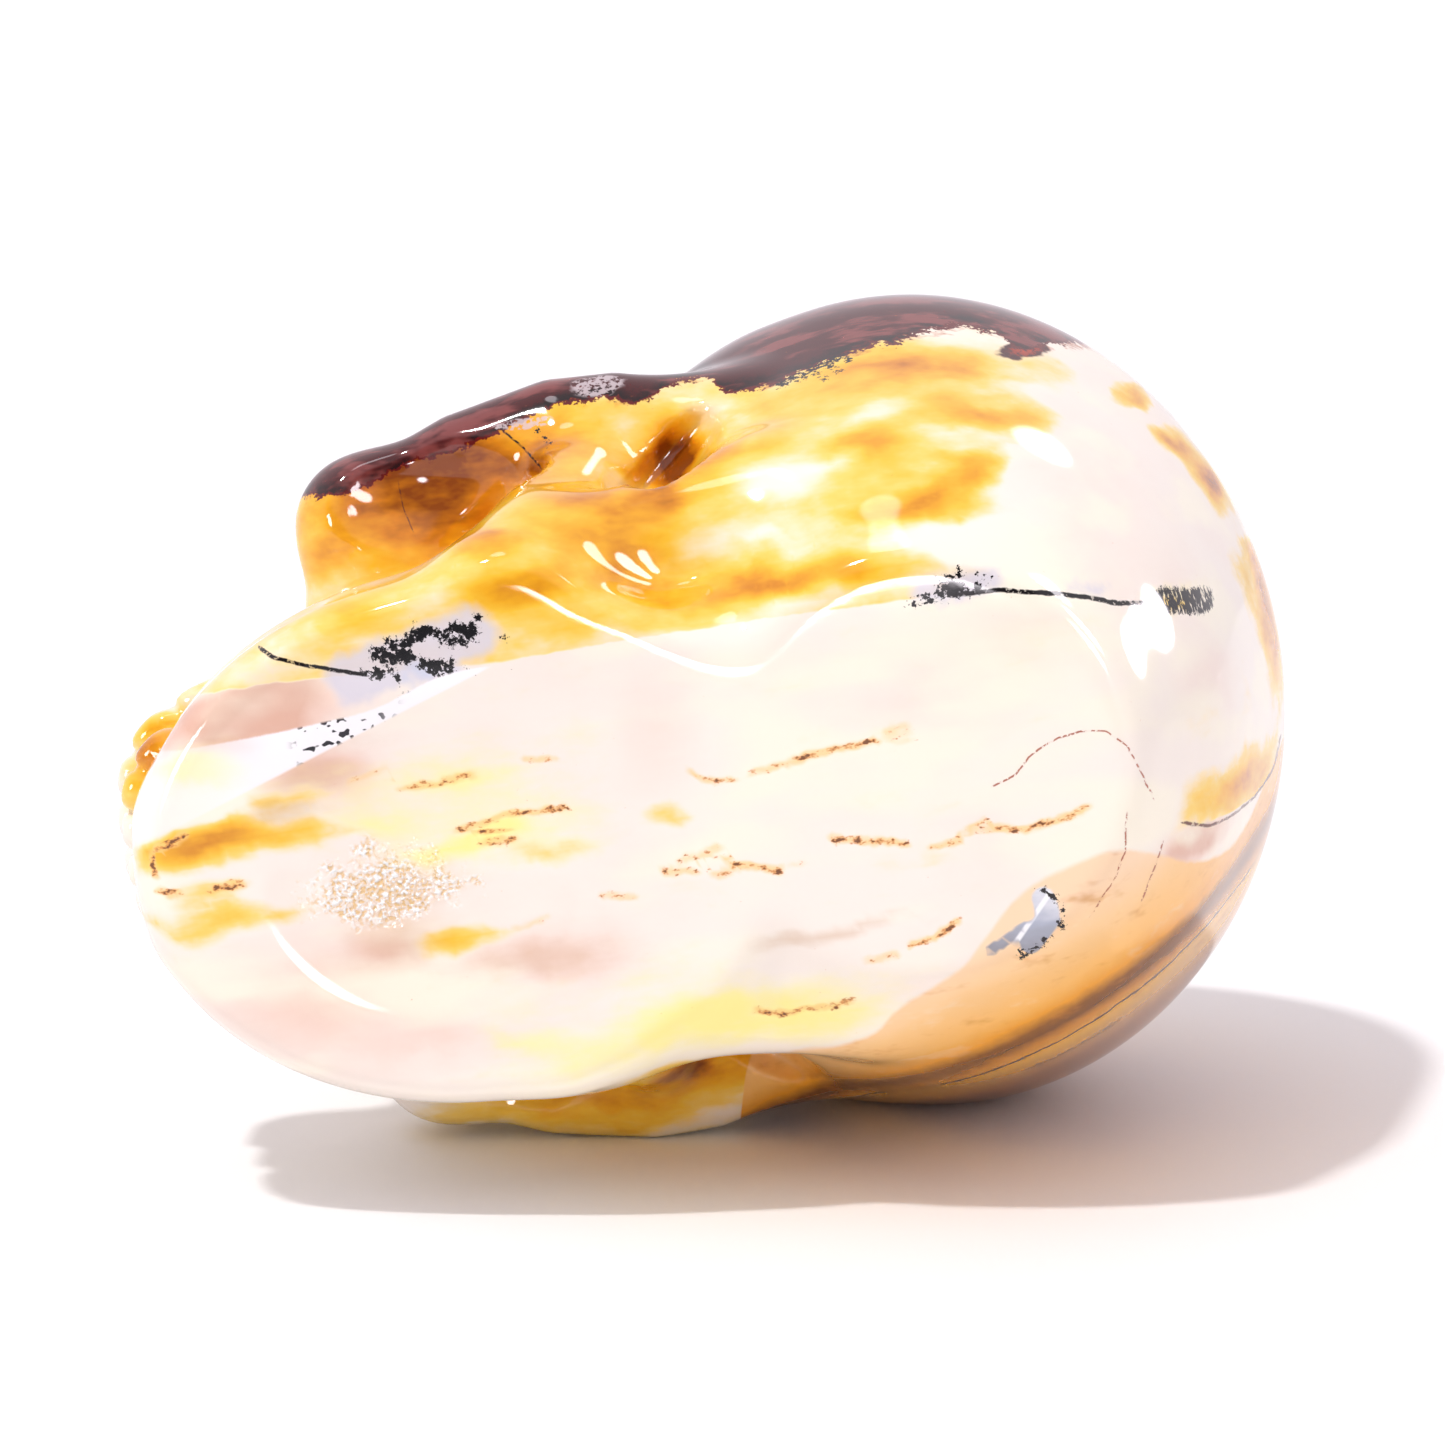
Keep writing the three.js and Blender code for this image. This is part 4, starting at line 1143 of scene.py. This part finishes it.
# %% [markdown]
# ## The speckled band and the loose wedge
# A white band full of black specks borders the jaw's hollow, between two straight-cut edges: the
# specks are the stone's, and the white is mostly a painted reflection of the soft light. Near the
# back of the head a small grey-blue wedge with a torn black edge is set in the tan.

# %% Band and wedge
reflection_band_top = profile(x, [(-50, -8.6), (-36, -9), (-30, -9.4), (-26.8, -9.7), (-25, -10.1), (-23, -10.8),
                       (-21, -11.5), (-19, -11.9), (-16, -12)])
reflection_band_foot = y + 7.8 + 0.345 * (x + 28.0)
reflection_band = fade(y - reflection_band_top + grit * 0.15, -0.12, 0.12) * fade(reflection_band_foot, 0.15, -0.15)
reflection_band = reflection_band * fade(x, -15.5, -17.0) * fade(z, 9.0, 6.0) * (0.35 + 0.65 * fade(x, -42.0, -33.0))
specks = fade(cloud(aim("MULTIPLY", here, (0.8, 1.0, 1.0)), 0.72, 1.0, 0.5, 31), 0.585, 0.63)
specks = specks * fade(x, -33.4, -31.5) * fade(x, -23.0, -26.0)
# Painted reflection: the white of the band, with the stone's black specks in it.
stone_colour = over(stone_colour, over(tint(252, 250, 252), tint(24, 22, 34), specks), reflection_band)

wedge = fade(wedge_gap + lumps * 0.4, 0.1, -0.15)
wedge_grey = grade((y - x * 0.3 - 5.0) * 0.2 + mottle, (0.0, (226, 226, 232)), (0.45, (176, 182, 198)),
                   (1.0, (150, 150, 158)))
stone_colour = over(stone_colour, wedge_grey, wedge)
streak = fade(calc("ABSOLUTE", (y - 12.6) + 1.1 * (x - 25.8)), 0.45, 0.15) * fade(wedge_gap, 0.0, -0.3)
stone_colour = over(stone_colour, tint(252, 252, 254), streak * 0.9)
torn_edge = fade(black_gap + twigs * 0.8, 0.02, -0.04) * fade(y, 11.0, 12.0)
stone_colour = over(stone_colour, tint(26, 20, 24), torn_edge)
print("nodes in the stone's paint:", len(PAINT.nodes))

# %% [markdown]
# ## The polish
# A high polish is a smooth dielectric: low roughness and the index of refraction of quartz. One
# patch in the dish stayed pitted, so there the roughness rises and a bump breaks the mirrored
# light into sparks. Nothing else is bumped: a polished stone is smooth wherever the wheel reached.

# %% Finish with a pitted patch
pitted = aim("LENGTH", aim("DIVIDE", aim("SUBTRACT", here, (-27.0, 4.6, 0.0)), (7.5, 3.6, 4.0)))
pitted = fade(pitted + lumps * 1.6, 1.0, 0.6)
pits = PAINT.nodes.new("ShaderNodeBump")
pit = cloud(here, 0.36, 1.0, 0.5, 40)
# Painted shade, tan, in the pits' hollows where the bump is low, and painted glints, white, where it is high.
stone_colour = over(stone_colour, tint(232, 190, 122), fade(pit, 0.48, 0.38) * pitted * 0.8)
stone_colour = over(stone_colour, tint(255, 255, 252), fade(pit, 0.54, 0.6) * pitted)
feed(pits.inputs["Height"], pit)
feed(pits.inputs["Strength"], pitted)
pits.inputs["Distance"].default_value = 0.0004
feed(finish_node.inputs["Base Color"], stone_colour)
feed(finish_node.inputs["Roughness"], 0.06 + pitted * 0.08)
feed(finish_node.inputs["Normal"], Flow(pits.outputs[0]))
finish_node.inputs["IOR"].default_value = 1.54
print("nodes in the stone's paint:", len(PAINT.nodes))

# %% [markdown]
# ## The two boxes
# The box round the dressed stone is printed beside the model's box.

# %% Print the two boxes
visual_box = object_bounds()
boxes = {"cad": [list(corner) for corner in cad_box], "visual": [list(corner) for corner in visual_box]}
for name, box in boxes.items():
    print(name, "box, mm:", [[round(c * 1000, 2) for c in corner] for corner in box])
